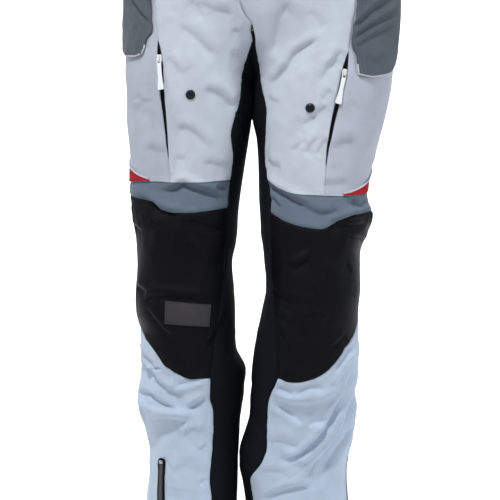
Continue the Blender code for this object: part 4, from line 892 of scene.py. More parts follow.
# bounds: low-angle edge, high-angle edge, foot and top. dips: how deep the cloth sinks at each of them, in mm
# stitched: the edge or cross line that a row of stitches follows, and how far from it in mm
panels = dict(
    frontThigh=dict(
        node="front_thigh", paint="light", slot="light_cloth", thread="light", columns=84, rows=200,
        flat=(0.185, 0.470), area=dict(right=0.056, left=0.068),
        bounds=("front", "zipFront", "thigh", "top"), dips=(1.2, 1.0, -0.3, 1.0),
        stitched=(("zipFront", -2.2), ("zipFront", -8.5), ("front", 2.4), ("thigh", 2.0), ("thigh", 7.0))),
    pocketPanel=dict(
        node="pocket_panel", paint="side", slot="side_cloth", thread="light", columns=40, rows=150,
        flat=(0.185, 0.470), area=dict(right=0.064, left=0.077),
        bounds=("zipPocket", "outer", "thigh", "top"), dips=(1.0, 1.2, -0.3, 1.0),
        stitched=(("zipPocket", 2.2), ("outer", -2.4), ("thigh", 2.0), ("thigh", 7.0))),
    kneeBand=dict(
        node="knee_band", paint="band", slot="slate_cloth", thread="grey", columns=120, rows=36,
        flat=(0.275, 0.052), area=dict(right=0.0088, left=0.010),
        bounds=("innerFront", "outer", "band", "thigh"), dips=(1.2, 1.2, 1.0, 1.2),
        stitched=(("innerFront", 2.4), ("outer", -2.4), ("thigh", -2.4), ("band", 2.2))),
    kneePanel=dict(
        node="knee_panel", paint="knee", slot="knee_cloth", thread="dark", columns=100, rows=104,
        flat=(0.270, 0.260), area=dict(right=0.050, left=0.047),
        bounds=("innerFront", "outer", "knee", "band"), dips=(1.2, 1.2, 1.0, 1.2),
        stitched=(("innerFront", 2.4), ("outer", -2.4), ("band", -2.4), ("band", -8.0), ("knee", 2.4))),
    shinPanel=dict(
        node="shin_panel", paint="shin", slot="shin_cloth", thread="light", columns=120, rows=190,
        flat=(0.240, 0.405), area=dict(right=0.064, left=0.079),
        bounds=("innerFront", "outer", "hem", "knee"), dips=(1.2, 1.2, 0, 1.2),
        stitched=(("innerFront", 2.4), ("outer", -2.4), ("knee", -2.2), ("knee", -7.5), ("hem", 18.0))),
    backPanel=dict(
        node="back_panel", paint="light", slot="light_cloth", thread="light", columns=56, rows=190,
        flat=(0.270, 1.080), area=dict(right=0.198, left=0.212),
        bounds=("outer", "back", "hem", "top"), dips=(1.2, 1.2, 0, 1.0),
        stitched=(("outer", 2.4), ("back", -2.4), ("hem", 18.0))),
    innerPanel=dict(
        node="inner_panel", paint="stretch", slot="stretch_cloth", thread="dark", columns=40, rows=170,
        flat=(0.300, 0.900), area=dict(right=0.133, left=0.121),
        bounds=("innerBack", "innerFrontRound", "hem", "crotch"), dips=(1.0, 1.0, 0, 1.0),
        stitched=(("innerBack", 2.4), ("innerFrontRound", -2.4), ("hem", 18.0))))


def edgeShares(count, length):
    # shares along a panel, closer together beside its seams
    close = np.array(sewing["closeMm"]) * mm / length
    inside = sewing["nextMm"] * mm / length
    return np.concatenate([close, np.linspace(inside, 1 - inside, count - 2 * len(close)), 1 - close[::-1]])


def panelBounds(leg, part):
    low, high, foot, top = panels[part]["bounds"]
    return leg.edges[low], leg.edges[high], leg.lines[foot], leg.lines[top]


def panelSpots(leg, part):
    # the rows follow the cross seams and the columns the upright ones, settled in a few rounds
    piece = panels[part]
    low, high, foot, top = panelBounds(leg, part)
    width, length = piece["flat"]
    across, up = np.meshgrid(edgeShares(piece["columns"], width), edgeShares(piece["rows"], length))
    startHeight = np.array(sewing["startHeight"])
    angle = np.full(across.shape, float(low(startHeight) + high(startHeight)) / 2)
    for _ in range(sewing["rounds"]):
        z = mix(foot(angle), top(angle), up)
        angle = mix(low(z), high(z), across)
    return angle, mix(foot(angle), top(angle), up)


def runLengths(points, axis):
    steps = np.linalg.norm(np.diff(points, axis=axis), axis=-1)
    pad = [(0, 0), (0, 0)]
    pad[axis] = (1, 0)
    return np.pad(np.cumsum(steps, axis=axis), pad)


def bothLengths(points):
    return np.stack([runLengths(points, 1), runLengths(points, 0)], -1)


def sewnHeight(dips, across, along):
    # how far the cloth sinks into its seams, gathers beside them and rolls next to that
    height = np.zeros(across.shape)
    sides = ((across, along), (across[:, -1:] - across, along), (along, across), (along[-1:] - along, across))
    for dip, (distance, run) in zip(dips, sides):
        phases = puckerSeed.uniform(0, 6.28, 4)
        if not dip:
            continue
        inwards = distance / mm
        gather, sway, fine, fade = [run / length * sewing["fullTurn"] + phase
                                    for length, phase in zip(sewing["waves"], phases)]
        wave = np.sin(gather + sewing["sway"] * np.sin(sway)) + sewing["fine"] * np.sin(fine)
        patchy = mix(sewing["least"], 1.0, softStep(*sewing["comes"], np.sin(fade)))
        height -= dip * bell(inwards / sewing["dipWidth"])
        height += sewing["pucker"] * wave * patchy * np.exp(-inwards / sewing["puckerReach"])
        height += sewing["roll"] * bell((inwards - sewing["rollAt"]) / sewing["rollWidth"])
    return height * mm


def gridPiece(name, points, lengths=None, flip=False):
    # a grid laid on rows of points, whose UV is the run along the cloth in metres
    if lengths is None:
        lengths = bothLengths(points)
    if flip:
        points, lengths = points[:, ::-1], lengths[:, ::-1]
    rows, columns = points.shape[:2]
    bpy.ops.object.select_all(action="DESELECT")
    bpy.ops.mesh.primitive_grid_add(x_subdivisions=columns - 1, y_subdivisions=rows - 1, size=1)
    piece = bpy.context.object
    piece.name = piece.data.name = name
    piece.data.vertices.foreach_set("co", np.ascontiguousarray(points, np.float32).ravel())
    corners = np.empty(len(piece.data.loops), np.int32)
    piece.data.loops.foreach_get("vertex_index", corners)
    piece.data.uv_layers.active.data.foreach_set(
        "uv", np.ascontiguousarray(lengths.reshape(-1, 2)[corners], np.float32).ravel())
    piece.data.update()
    return piece


def change(piece, kind, **settings):
    # adds a modifier and applies it
    bpy.context.view_layer.objects.active = piece
    modifier = piece.modifiers.new(kind.lower(), kind)
    for name, value in settings.items():
        setattr(modifier, name, value)
    bpy.ops.object.modifier_apply(modifier=modifier.name)


def roundEdges(piece, width, segments, angle):
    change(piece, "BEVEL", width=width, segments=segments, limit_method="ANGLE",
           angle_limit=math.radians(angle))


def thicken(piece, wall, edge=0.0):
    change(piece, "SOLIDIFY", thickness=wall, offset=-1, use_quality_normals=True)
    if edge:
        roundEdges(piece, edge, 2, 60)
    bpy.ops.object.shade_smooth_by_angle(angle=math.radians(55))


def finishPiece(piece, paint, nodes=(), body="trousers"):
    piece.data.materials.clear()
    piece.data.materials.append(paints[paint])
    if nodes:
        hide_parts(*nodes)
    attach(piece, body)


def shellOf(piece):
    # the outer side, kept for laying stitches on it
    return BVHTree.FromPolygons([tuple(vert.co) for vert in piece.data.vertices],
                                [tuple(face.vertices) for face in piece.data.polygons])


def sewPanel(leg, part):
    piece = panels[part]
    angle, z = panelSpots(leg, part)
    smooth = smoothLeg(leg, angle, z)
    across, along = runLengths(smooth, 1), runLengths(smooth, 0)
    points, _ = drape(leg, angle, z, sewnHeight(piece["dips"], across, along))
    name = leg.name + part[0].upper() + part[1:]
    sheetPiece = gridPiece(name, points, np.stack([across, along], -1), flip=leg.side < 0)
    area = sum(face.area for face in sheetPiece.data.polygons)
    leg.shells[part] = shellOf(sheetPiece)
    thicken(sheetPiece, cut["wall"])
    finishPiece(sheetPiece, piece["paint"], [f"{leg.name}_{piece['node']}"])
    print(f"{name}: {across.max():.3f} by {along.max():.3f} m, {area:.4f} m2")


for leg in legs:
    for part in panels:
        sewPanel(leg, part)
print("panels sewn")


# Flaps, inserts and the patch, laid over the panels

flap = dict(top=-0.0475, backAngle=97.0, lift=0.0026, hang=0.0016, columns=64, rows=120, wall=0.0018,
            edge=0.0005, clear=0.0003, width=0.09, length=0.25, dips=(0.5, 0.5, 0.3, 0.3), sewn=0.8,
            flat=(0.155, 0.285), area=dict(right=0.0306, left=0.040))
# front: height and distance outwards. bottom: share from the front backwards, and height
# creases: width, depth and lip in mm, then points as distance outwards in m and height in mm
flapShape = dict(
    right=dict(
        front=((-0.3026, 0.1589), (-0.2979, 0.1554), (-0.2877, 0.1521), (-0.2764, 0.1500), (-0.2650, 0.1426),
               (-0.2195, 0.1445), (-0.1300, 0.1365), (-0.0470, 0.1265)),
        bottom=((0.0, -0.2995), (0.12, -0.3025), (0.35, -0.3010), (0.7, -0.2935), (1.0, -0.2860)),
        creases=(
            (3.4, 2.2, 4.4, ((0.182, -190), (0.172, -220), (0.158, -240), (0.140, -260))),
            (3.6, 1.0, -2.2, ((0.172, -224), (0.160, -240), (0.143, -259))),
            (3.5, 0.8, 2.4, ((0.165, -196), (0.155, -214), (0.143, -230))),
            (6, 0.8, 1.6, ((0.184, -232), (0.178, -252), (0.166, -268))),
            (7, 0.8, 1.8, ((0.176, -118), (0.160, -138), (0.146, -152))),
            (6, 0.6, 1.4, ((0.180, -165), (0.166, -176), (0.150, -184))))),
    left=dict(
        front=((-0.3330, 0.1550), (-0.3280, 0.1510), (-0.3015, 0.1493), (-0.2845, 0.1422), (-0.2200, 0.1505),
               (-0.1310, 0.1440), (-0.0470, 0.1320)),
        bottom=((0.0, -0.3290), (0.12, -0.3325), (0.35, -0.3290), (0.52, -0.3240), (0.62, -0.3160),
                (0.86, -0.2860), (1.0, -0.2720)),
        creases=(
            (3.8, 2.2, 4.4, ((0.210, -200), (0.182, -224), (0.160, -246), (0.144, -262))),
            (3.4, 2.2, 4.0, ((0.212, -222), (0.186, -246), (0.163, -262), (0.143, -279))),
            (3.4, 1.6, 2.8, ((0.210, -244), (0.188, -262), (0.162, -280), (0.146, -291))),
            (7, 0.8, 1.4, ((0.196, -300), (0.178, -308), (0.160, -306))),
            (7, 0.8, 1.8, ((0.196, -122), (0.176, -140), (0.158, -152))),
            (6, 0.6, 1.4, ((0.200, -166), (0.182, -180), (0.162, -190))))))
piping = dict(radius=0.0014, drop=0.0012, around=10, cornerRows=8, redSunk=0.0004, redRise=0.9)
redShape = dict(right=dict(pointX=0.1500, rise=0.0320, gap=0.0006),
                left=dict(pointX=0.1320, rise=0.0270, gap=0.0010))
red = dict(columns=44, rows=16, wall=0.0012, edge=0.0003, pointAngle=60.0, pointHeight=0.0020,
           foot=0.0004, shortOf=1.0, flat=(0.090, 0.036))
patch = dict(top=((0.1265, -0.6555), (0.0600, -0.6615)), bottom=((0.1265, -0.6890), (0.0625, -0.6935)),
             columns=60, rows=34, wall=0.0010, lift=0.0016, edge=0.0004, under=0.8, widthMm=66, heightMm=33,
             sunk=0.0004, sunkAt=2.2, sunkWidth=0.7, flat=(0.070, 0.034))
waistband = dict(columns=220, rows=26, wall=0.0036, edge=0.0012, flat=(0.930, 0.045),
                 heightMm=45, swell=0.5, sunk=0.0006, sunkAt=3.2, crown=0.0005, lower=0.0004, top=-0.0003,
                 stitched=(0.09, 0.91), stitchEnd=3, button=-0.0050, buttonLift=0.0008)
stitching = dict(pitch=0.0034, proud=0.00012, shortBy=0.002, shortByTurn=1.2, flapMargins=(3, 5),
                 patchMargin=2)


def shareGrid(columns, rows):
    return np.meshgrid(np.linspace(0, 1, columns), np.linspace(0, 1, rows))


def tube(name, line, outs, radius, around):
    # round cord along a line, closed at both ends
    ahead = unit(np.gradient(line, axis=0))
    beside = unit(np.cross(ahead, outs))
    up = np.cross(beside, ahead)
    turns = np.radians(np.linspace(0, 360, around + 1))[:, None, None]
    points = line[None] + radius * (np.cos(turns) * beside[None] + np.sin(turns) * up[None])
    piece = gridPiece(name, points)
    bpy.ops.object.mode_set(mode="EDIT")
    bpy.ops.mesh.select_all(action="SELECT")
    bpy.ops.mesh.remove_doubles(threshold=1e-6)
    bpy.ops.mesh.fill_holes(sides=0)
    bpy.ops.mesh.normals_make_consistent(inside=False)
    bpy.ops.object.mode_set(mode="OBJECT")
    bpy.ops.object.shade_smooth_by_angle(angle=math.radians(70))
    return piece


def layPiping(leg, part, line, outs):
    cordPiece = tube(f"{leg.name}{part}Piping", line, outs, piping["radius"], piping["around"])
    finishPiece(cordPiece, "piping", [f"{leg.name}_{part.lower()}_piping"])


def pathCreases(leg, rows, strength):
    # creases given as distances from the middle plane
    turned = []
    for width, depth, lip, points in rows:
        spots = [(float(angleAt(leg, distance, height * mm)), height) for distance, height in points]
        turned.append((width, depth, lip, spots))
    return layCreases(leg, turned, strength)


def layOver(leg, angle, z, lift, ownCreases=(), under=0.45, clear=0.0):
    # cloth lying over the panels, which takes only part of their creases
    smooth, out = smoothLeg(leg, angle, z), outwards(leg, angle, z)
    creases = creaseHeight(leg.creases, smooth)
    panel = creases + swellHeight(smooth)
    height = panel - creases * (1 - under) + lift
    if ownCreases:
        height = np.maximum(height + creaseHeight(ownCreases, smooth), panel + clear)
    return smooth + out * height[..., None], out


def sewFlap(leg):
    shape = flapShape[leg.name]
    front, bottom = curveThrough(shape["front"]), curveThrough(shape["bottom"])
    across, down = np.meshgrid(edgeShares(flap["columns"], flap["width"]),
                               edgeShares(flap["rows"], flap["length"])[::-1])
    z = mix(flap["top"], bottom(across), down)
    angle = mix(angleAt(leg, front(z), z), flap["backAngle"], across)
    lengths = bothLengths(smoothLeg(leg, angle, z))
    sewn = sewnHeight(flap["dips"], lengths[..., 0], lengths[..., 1]) * flap["sewn"]
    lift = flap["lift"] + flap["hang"] * down ** 2 + sewn
    points, outs = layOver(leg, angle, z, lift, pathCreases(leg, shape["creases"], 1.0),
                           clear=flap["wall"] + flap["clear"])
    piece = gridPiece(leg.name + "HipFlap", points, lengths, flip=leg.side < 0)
    leg.shells["hipFlap"] = shellOf(piece)
    leg.flapSpots = (angle, z)
    thicken(piece, flap["wall"], flap["edge"])
    finishPiece(piece, "grey", [f"{leg.name}_hip_flap"])
    # the cord follows the lower edge and turns up round the inner corner
    corner = slice(piping["cornerRows"], 0, -1)
    rim, rimOut = [np.concatenate([values[corner, 0], values[0]]) for values in (points, outs)]
    below = unit(np.cross(np.gradient(rim, axis=0), rimOut) * -leg.side)
    layPiping(leg, "Flap", rim - rimOut * (flap["wall"] / 2) + below * piping["drop"], rimOut)


def sewRedInsert(leg):
    shape = redShape[leg.name]
    pointHeight = leg.lines["thigh"](np.array(red["pointAngle"]))
    start = float(angleAt(leg, shape["pointX"], pointHeight))
    across, up = shareGrid(red["columns"], red["rows"])
    angle = mix(start, cut["outerSeam"] - red["shortOf"], across)
    z = leg.lines["thigh"](angle) + red["foot"] + (red["pointHeight"] + shape["rise"] * across) * up
    points, outs = layOver(leg, angle, z, shape["gap"] + red["wall"], under=1.0)
    piece = gridPiece(leg.name + "RedInsert", points, flip=leg.side < 0)
    thicken(piece, red["wall"], red["edge"])
    finishPiece(piece, "red", [f"{leg.name}_red_insert"])
    rise = np.array([0, 0, piping["radius"] * piping["redRise"]])
    layPiping(leg, "Red", points[-1] - outs[-1] * piping["redSunk"] + rise, outs[-1])


def sewKneePatch(leg):
    across, up = shareGrid(patch["columns"], patch["rows"])
    ends = []
    for side in (1, 0):
        ends.append([mix(foot, top, up) for foot, top in zip(patch["bottom"][side], patch["top"][side])])
    distance, z = [mix(ends[0][part], ends[1][part], across) for part in (0, 1)]
    angle = angleAt(leg, distance, z)
    fromEdge = np.minimum(np.minimum(across, 1 - across) * patch["widthMm"],
                          np.minimum(up, 1 - up) * patch["heightMm"])
    lift = patch["lift"] - patch["sunk"] * bell((fromEdge - patch["sunkAt"]) / patch["sunkWidth"])
    leg.patchPoints, _ = layOver(leg, angle, z, lift, under=patch["under"])
    piece = gridPiece("rightKneePatch", leg.patchPoints, flip=leg.side < 0)
    leg.shells["kneePatch"] = shellOf(piece)
    thicken(piece, patch["wall"], patch["edge"])
    finishPiece(piece, "patch", ["right_knee_patch"])


def resample(line, pitch):
    # evenly spaced places along a line, as fractional row numbers
    steps = np.concatenate([[0], np.cumsum(np.linalg.norm(np.diff(line, axis=0), axis=1))])
    count = max(int(steps[-1] / pitch), 2)
    return np.interp((np.arange(count) + 0.5) * steps[-1] / count, steps, np.arange(len(line)))


def pickRows(values, rows):
    low = np.clip(rows.astype(int), 0, len(values) - 2)
    return mix(values[low], values[low + 1], (rows - low)[:, None])


def stitchLine(leg, part, line, thread):
    # lays a row of stitches on a panel, near a line of points
    centres, outs = [], []
    for point in pickRows(line, resample(line, stitching["pitch"])):
        spot, normal, _, _ = leg.shells[part].find_nearest(Vector(point))
        centres.append(spot + normal * stitching["proud"])
        outs.append(normal)
    ahead = np.gradient(np.array(centres), axis=0)
    leg.stitches.setdefault(thread, []).append((np.array(centres), ahead, np.array(outs)))


def bandPoint(turn, z):
    # point on the waistband, by its turn round the hips from the front
    sine, cosine = np.sin(turn), np.cos(turn)
    toFront, toBack = hips["depthCentre"] - hipFront(z), hipBack(z) - hips["depthCentre"]
    depth, power = np.where(cosine > 0, toFront, toBack), cut["squareness"]
    radius = (np.abs(sine / hipHalf(z)) ** power + np.abs(cosine / depth) ** power) ** (-1 / power)
    return np.stack([hipCentre(z) + radius * sine, hips["depthCentre"] - radius * cosine, z], -1)


def bandTurn(distance, z):
    # turn where the waistband's front is this far from the middle plane
    return findPlace(lambda turn: bandPoint(turn, z)[..., 0] - distance, np.full(z.shape, -1.0),
                     np.full(z.shape, 1.0))


def bandOut(turn, z):
    step = 0.01
    return unit(np.cross(bandPoint(turn + step, z) - bandPoint(turn - step, z), (0, 0, 1.0)))


def sewWaistband():
    across, up = shareGrid(waistband["columns"], waistband["rows"])
    z = mix(cut["waistbandBottom"] + 2 * cut["halfSeam"], 0.0, up)
    first, last = [bandTurn(flyPlace(z) + gap, z) for gap in (cut["halfSeam"], -cut["halfSeam"])]
    turn = mix(first, last + 2 * math.pi, across)
    smooth = bandPoint(turn, z)
    fromEdge = np.minimum(up, 1 - up) * waistband["heightMm"]
    height = (swellHeight(smooth) * waistband["swell"]
              - waistband["sunk"] * bell(fromEdge - waistband["sunkAt"])
              + waistband["crown"] * np.sin(np.pi * up) - waistband["lower"])
    points = smooth + bandOut(turn, z) * height[..., None]
    points[-1, :, 2] = np.minimum(points[-1, :, 2], waistband["top"])
    piece = gridPiece("waistbandCloth", points)
    rightLeg.shells["waistband"] = shellOf(piece)
    end = waistband["stitchEnd"]
    for share in waistband["stitched"]:
        row = points[int(share * (waistband["rows"] - 1))]
        stitchLine(rightLeg, "waistband", row[end:-end], "grey")
    thicken(piece, waistband["wall"], waistband["edge"])
    finishPiece(piece, "grey", ["waistband"])


for leg in legs:
    sewFlap(leg)
    sewRedInsert(leg)
sewKneePatch(rightLeg)
sewWaistband()
print("flaps, inserts, patch and waistband sewn")


# Hard pieces are made once upright at the origin, X across the zip, Y out of the cloth, Z up it

def startPiece(name, addShape, **settings):
    bpy.ops.object.select_all(action="DESELECT")
    addShape(**settings)
    piece = bpy.context.object
    piece.name = piece.data.name = name
    bpy.ops.object.transform_apply(location=True, rotation=True, scale=True)
    return piece


def startBox(name, size, centre=(0, 0, 0)):
    return startPiece(name, bpy.ops.mesh.primitive_cube_add, size=1, location=centre, scale=size)


def enterEdit(piece):
    bpy.context.view_layer.objects.active = piece
    bpy.ops.object.mode_set(mode="EDIT")


def leaveEdit():
    bpy.ops.object.mode_set(mode="OBJECT")


def choose(piece, kind, test):
    # selects the corners or faces that pass a test of their place and normal
    enterEdit(piece)
    bpy.ops.mesh.select_mode(type=kind)
    shape = bmesh.from_edit_mesh(piece.data)
    if kind == "FACE":
        for face in shape.faces:
            face.select_set(bool(test(face.calc_center_median(), face.normal)))
    else:
        for vert in shape.verts:
            vert.select_set(bool(test(vert.co, vert.normal)))
        shape.select_flush_mode()
    bmesh.update_edit_mesh(piece.data)


def resizeCorners(piece, test, value, centre):
    choose(piece, "VERT", lambda place, normal: test(place))
    bpy.ops.transform.resize(value=value, center_override=centre)
    leaveEdit()


def insetFaces(piece, test, steps):
    # each step goes in by its first number and out by its second
    choose(piece, "FACE", test)
    for thickness, depth in steps:
        bpy.ops.mesh.inset(thickness=thickness, depth=depth)
    leaveEdit()


def extrudeFaces(piece, test, move, taper=None, centre=(0, 0, 0)):
    choose(piece, "FACE", test)
    bpy.ops.mesh.extrude_region_move(TRANSFORM_OT_translate=dict(value=move))
    if taper:
        bpy.ops.transform.resize(value=taper, center_override=centre)
    leaveEdit()


def cutAcross(piece, places, axis=(0, 0, 1)):
    # adds a loop of edges at each place along an axis
    enterEdit(piece)
    for place in places:
        bpy.ops.mesh.select_all(action="SELECT")
        bpy.ops.mesh.bisect(plane_co=[place * part for part in axis], plane_no=axis)
    leaveEdit()


def selectOnly(piece):
    bpy.ops.object.select_all(action="DESELECT")
    piece.select_set(True)
    bpy.context.view_layer.objects.active = piece


def soften(piece, width, segments=2, angle=32, levels=0):
    selectOnly(piece)
    roundEdges(piece, width, segments, angle)
    if levels:
        change(piece, "SUBSURF", levels=levels, render_levels=levels)
    bpy.ops.object.shade_smooth_by_angle(angle=math.radians(40))


def facesFront(place, normal):
    return normal.y > 0.7


def facesBack(place, normal):
    return normal.y < -0.7


# clear is the room between body and bridge, where the pull hangs from the bar
sliderShape = dict(width=0.0062, length=0.0110, height=0.0030, clear=0.0030, bar=0.0014, bridge=0.0024,
                   bridgeLength=0.0096, post=0.0018, sunk=0.0006, loops=(-0.0030, 0.0008, 0.0038), end=0.0045,
                   footWidth=0.72, headWidth=0.82, channel=((0.0008, 0), (0.0001, -0.0011)))


def modelSlider():
    # measured from the hinge: the body lies under it and the bridge passes over it
    size = sliderShape
    middle = -(size["clear"] + size["height"]) / 2
    body = startBox("sliderBody", (size["width"], size["height"], size["length"]), (0, middle, 0))
    cutAcross(body, size["loops"])
    # the body narrows at both ends, more at its foot
    resizeCorners(body, lambda place: place.z < -size["end"], (size["footWidth"], 1, 1), (0, middle, 0))
    resizeCorners(body, lambda place: place.z > size["end"], (size["headWidth"], 1, 1), (0, middle, 0))
    # a channel along each side, where the teeth run in
    insetFaces(body, lambda place, normal: abs(normal.x) > 0.7, size["channel"])
    soften(body, 0.00035, 2, 40)
    crown = (size["clear"] + size["bar"]) / 2
    arch = startBox("sliderBridge", (size["bridge"], size["bar"], size["bridgeLength"]), (0, crown, 0))
    inside = size["bridgeLength"] / 2 - size["post"]
    cutAcross(arch, (-inside, inside))
    extrudeFaces(arch, lambda place, normal: facesBack(place, normal) and abs(place.z) > inside,
                 (0, -size["clear"] - size["sunk"], 0))
    soften(arch, 0.00045, 3, 40)
    body.select_set(True)
    bpy.context.view_layer.objects.active = body  # the bridge is still selected
    bpy.ops.object.join()
    return body


# outline rows: height below the hinge, half width, extra thickness
pullShape = dict(
    thigh=dict(length=0.0470, thickness=0.0016, window=0.0052, halfWindow=0.0018, arm=0.0014, levels=1,
               outline=((-0.0075, 0.0034, 0.0), (-0.0105, 0.0028, 0.1), (-0.0130, 0.0032, 0.7),
                        (-0.0150, 0.0027, 0.25), (-0.0172, 0.0032, 0.7), (-0.0192, 0.0027, 0.25),
                        (-0.0214, 0.0033, 0.7), (-0.0236, 0.0028, 0.25), (-0.0260, 0.0031, 0.35),
                        (-0.0340, 0.0034, 0.35), (-0.0410, 0.0047, 0.30), (-0.0455, 0.0048, 0.2))),
    hem=dict(length=0.0200, thickness=0.0014, window=0.0070, halfWindow=0.0018, arm=0.0013, levels=0,
             outline=((-0.0070, 0.0031, 0.0), (-0.0100, 0.0024, 0.0), (-0.0150, 0.0028, 0.0),
                      (-0.0188, 0.0033, 0.0))),
    top=0.00085, endWidth=0.86, edge=0.0003)


def modelPull(kind):
    # flat tab with a window that the bridge passes through, waisted and flared by its outline
    size, top, near = pullShape[kind], pullShape["top"], 1e-5
    half = size["halfWindow"] + size["arm"]
    tab = startBox(kind + "Pull", (2 * half, size["thickness"], size["length"] + top),
                   (0, 0, (top - size["length"]) / 2))
    cutAcross(tab, [-top] + [row[0] for row in size["outline"]])
    cutAcross(tab, (-size["halfWindow"], size["halfWindow"]), axis=(1, 0, 0))
    for height, width, thicker in size["outline"]:
        resizeCorners(tab, lambda place: abs(place.z - height) < near, (width / half, 1 + thicker, 1),
                      (0, 0, height))
    height, width, _ = size["outline"][-1]
    resizeCorners(tab, lambda place: place.z < height - near, (width * pullShape["endWidth"] / half, 1, 1),
                  (0, 0, height))
    # the window goes through both broad faces
    choose(tab, "FACE", lambda place, normal: abs(normal.y) > 0.7 and abs(place.x) < size["halfWindow"] / 2
           and -size["window"] < place.z < -top)
    bpy.ops.mesh.bridge_edge_loops()
    leaveEdit()
    soften(tab, pullShape["edge"], 2, 30, size["levels"])
    return tab


def modelTooth(name, size):
    tooth = startBox(name, size)
    extrudeFaces(tooth, facesFront, (0, size[1] * 0.35, 0), (0.7, 1, 0.45), (0, size[1] * 0.85, 0))
    return tooth


stitchShape = dict(radius=0.00034, length=0.0017, sides=3, tip=0.0004, dip=-0.00022, tipWidth=0.5)


def modelStitch():
    # one stitch lying along X, its ends dipping into the cloth
    size = stitchShape
    stitch = startPiece("stitch", bpy.ops.mesh.primitive_cylinder_add, vertices=size["sides"],
                        radius=size["radius"], depth=size["length"], rotation=(0, math.radians(90), 0))
    for way in (-1, 1):
        end = way * (size["length"] / 2 + size["tip"])
        extrudeFaces(stitch, lambda place, normal: normal.x * way > 0.7, (way * size["tip"], size["dip"], 0),
                     (1, size["tipWidth"], size["tipWidth"]), (end, size["dip"], 0))
    bpy.ops.object.shade_smooth()
    return stitch


# steps: how far each inset of the front face goes in, and then out
discShape = dict(
    # a flared ring round a shallow domed cap
    snap=dict(radius=0.0069, depth=0.0012, around=40, middle=-0.0006, edge=0.00025,
              steps=((0.0009, 0), (0.0004, -0.00045), (0.0004, 0.0009), (0.0014, 0.0004), (0.0016, 0.0001))),
    # a rolled rim, a sunk ring and a low boss
    button=dict(radius=0.0085, depth=0.0016, around=48, middle=-0.0010, edge=0.0003,
                steps=((0.0010, 0.0008), (0.0012, 0), (0.0007, -0.0008), (0.0022, 0), (0.0006, 0.0007))))


def modelDisc(kind):
    # a round fastener that faces along -Y
    size = discShape[kind]
    disc = startPiece(kind, bpy.ops.mesh.primitive_cylinder_add, vertices=size["around"],
                      radius=size["radius"], depth=size["depth"], location=(0, size["middle"], 0),
                      rotation=(math.radians(90), 0, 0))
    insetFaces(disc, facesBack, size["steps"])
    soften(disc, size["edge"], 2, 35)
    return disc


def modelStop():
    stop = startBox("stop", (0.0078, 0.0018, 0.0050))
    insetFaces(stop, facesFront, ((0.0009, 0.0004),))
    soften(stop, 0.0005, 3, 35)
    return stop


def placed(pattern, name, place):
    # a copy with its own mesh, its place in the mesh
    copy = pattern.copy()
    copy.data = pattern.data.copy()
    copy.name = copy.data.name = name
    bpy.context.collection.objects.link(copy)
    copy.data.transform(place)
    copy.data.update()
    return copy


def placedMany(pattern, name, centres, xs, ys, zs):
    # many copies of a small pattern in one mesh
    mesh = pattern.data
    verts = len(mesh.vertices)
    corners = np.empty(verts * 3, np.float32)
    mesh.vertices.foreach_get("co", corners)
    spots = np.einsum("vk,nkc->nvc", corners.reshape(-1, 3), np.stack([xs, ys, zs], 1)) + centres[:, None]
    faces = []
    for copy in range(len(centres)):
        faces += [tuple(corner + copy * verts for corner in face.vertices) for face in mesh.polygons]
    made = bpy.data.meshes.new(name)
    made.from_pydata(spots.reshape(-1, 3).tolist(), [], faces)
    made.update()
    piece = bpy.data.objects.new(name, made)
    bpy.context.collection.objects.link(piece)
    selectOnly(piece)
    bpy.ops.object.shade_smooth_by_angle(angle=math.radians(50))
    return piece


def standing(here, out, up=(0, 0, 1)):
    # a place on the cloth for an upright pattern
    out = Vector(out).normalized()
    up = Vector(up)
    up = (up - out * up.dot(out)).normalized()
    place = Matrix((out.cross(up), out, up)).transposed().to_4x4()
    place.translation = Vector(here)
    return place


def hingePlace(leg, joint, node):
    # the hinge's own frame: X along its axis, Z up the zip from the hanging pull, Y out of the cloth
    hinge = Vector(joint["pos_m"])
    corners = [node.matrix_world @ vert.co for vert in node.data.vertices]
    hang = hinge - sum(corners, Vector()) / len(corners)
    axis = Vector(joint["axis"]).normalized()
    up = (hang - axis * hang.dot(axis)).normalized()
    out = up.cross(axis)
    middle = Vector((leg.side * (leg.outer(hinge.z) + leg.inner(hinge.z)) / 2,
                     (leg.front(hinge.z) + leg.back(hinge.z)) / 2, hinge.z))
    if out.dot(hinge - middle) < 0:
        out = -out
    return standing(hinge, out, up)


patterns = dict(slider=modelSlider(), thighPull=modelPull("thigh"), hemPull=modelPull("hem"),
                tooth=modelTooth("coilTooth", (0.0021, 0.0008, 0.0008)),
                hemTooth=modelTooth("hemTooth", (0.0036, 0.0009, 0.0009)), snap=modelDisc("snap"),
                button=modelDisc("button"), stop=modelStop(), stitch=modelStitch())
print("patterns:", {name: len(pattern.data.polygons) for name, pattern in patterns.items()})


# Zips

zips = dict(tapeWall=0.0010, toothPitch=0.00125, toothLean=0.14)
thighTape = dict(past=0.006, rows=120, columns=15, margin=0.0070, sunk=0.0026, toothIn=0.0009,
                 toothLeast=0.0006, toothUp=0.0006, flat=(0.030, 0.190))
# the left zip lies most of the way round to the outer seam
hemTape = dict(top=-0.8925, foot=0.0008, rows=110, columns=17, width=0.0150, edge=0.0003, roundEnd=0.005,
               narrowest=0.12, lift=0.0013, rib=0.0005, ribAt=0.9, ribWidth=0.08, leftShare=0.8,
               toothOut=0.0017, toothLift=0.0017, stopDrop=0.0055, stopLift=0.0020, flat=(0.015, 0.183))
pullLook = dict(thigh=dict(slider="whiteMetal", pull="pull", slot="white_pull"),
                hem=dict(slider="nickel", pull="nickel", slot="zip_metal"))
snaps = dict(right=(0.0887, -0.3575), left=(0.0838, -0.3772), lift=0.0004)


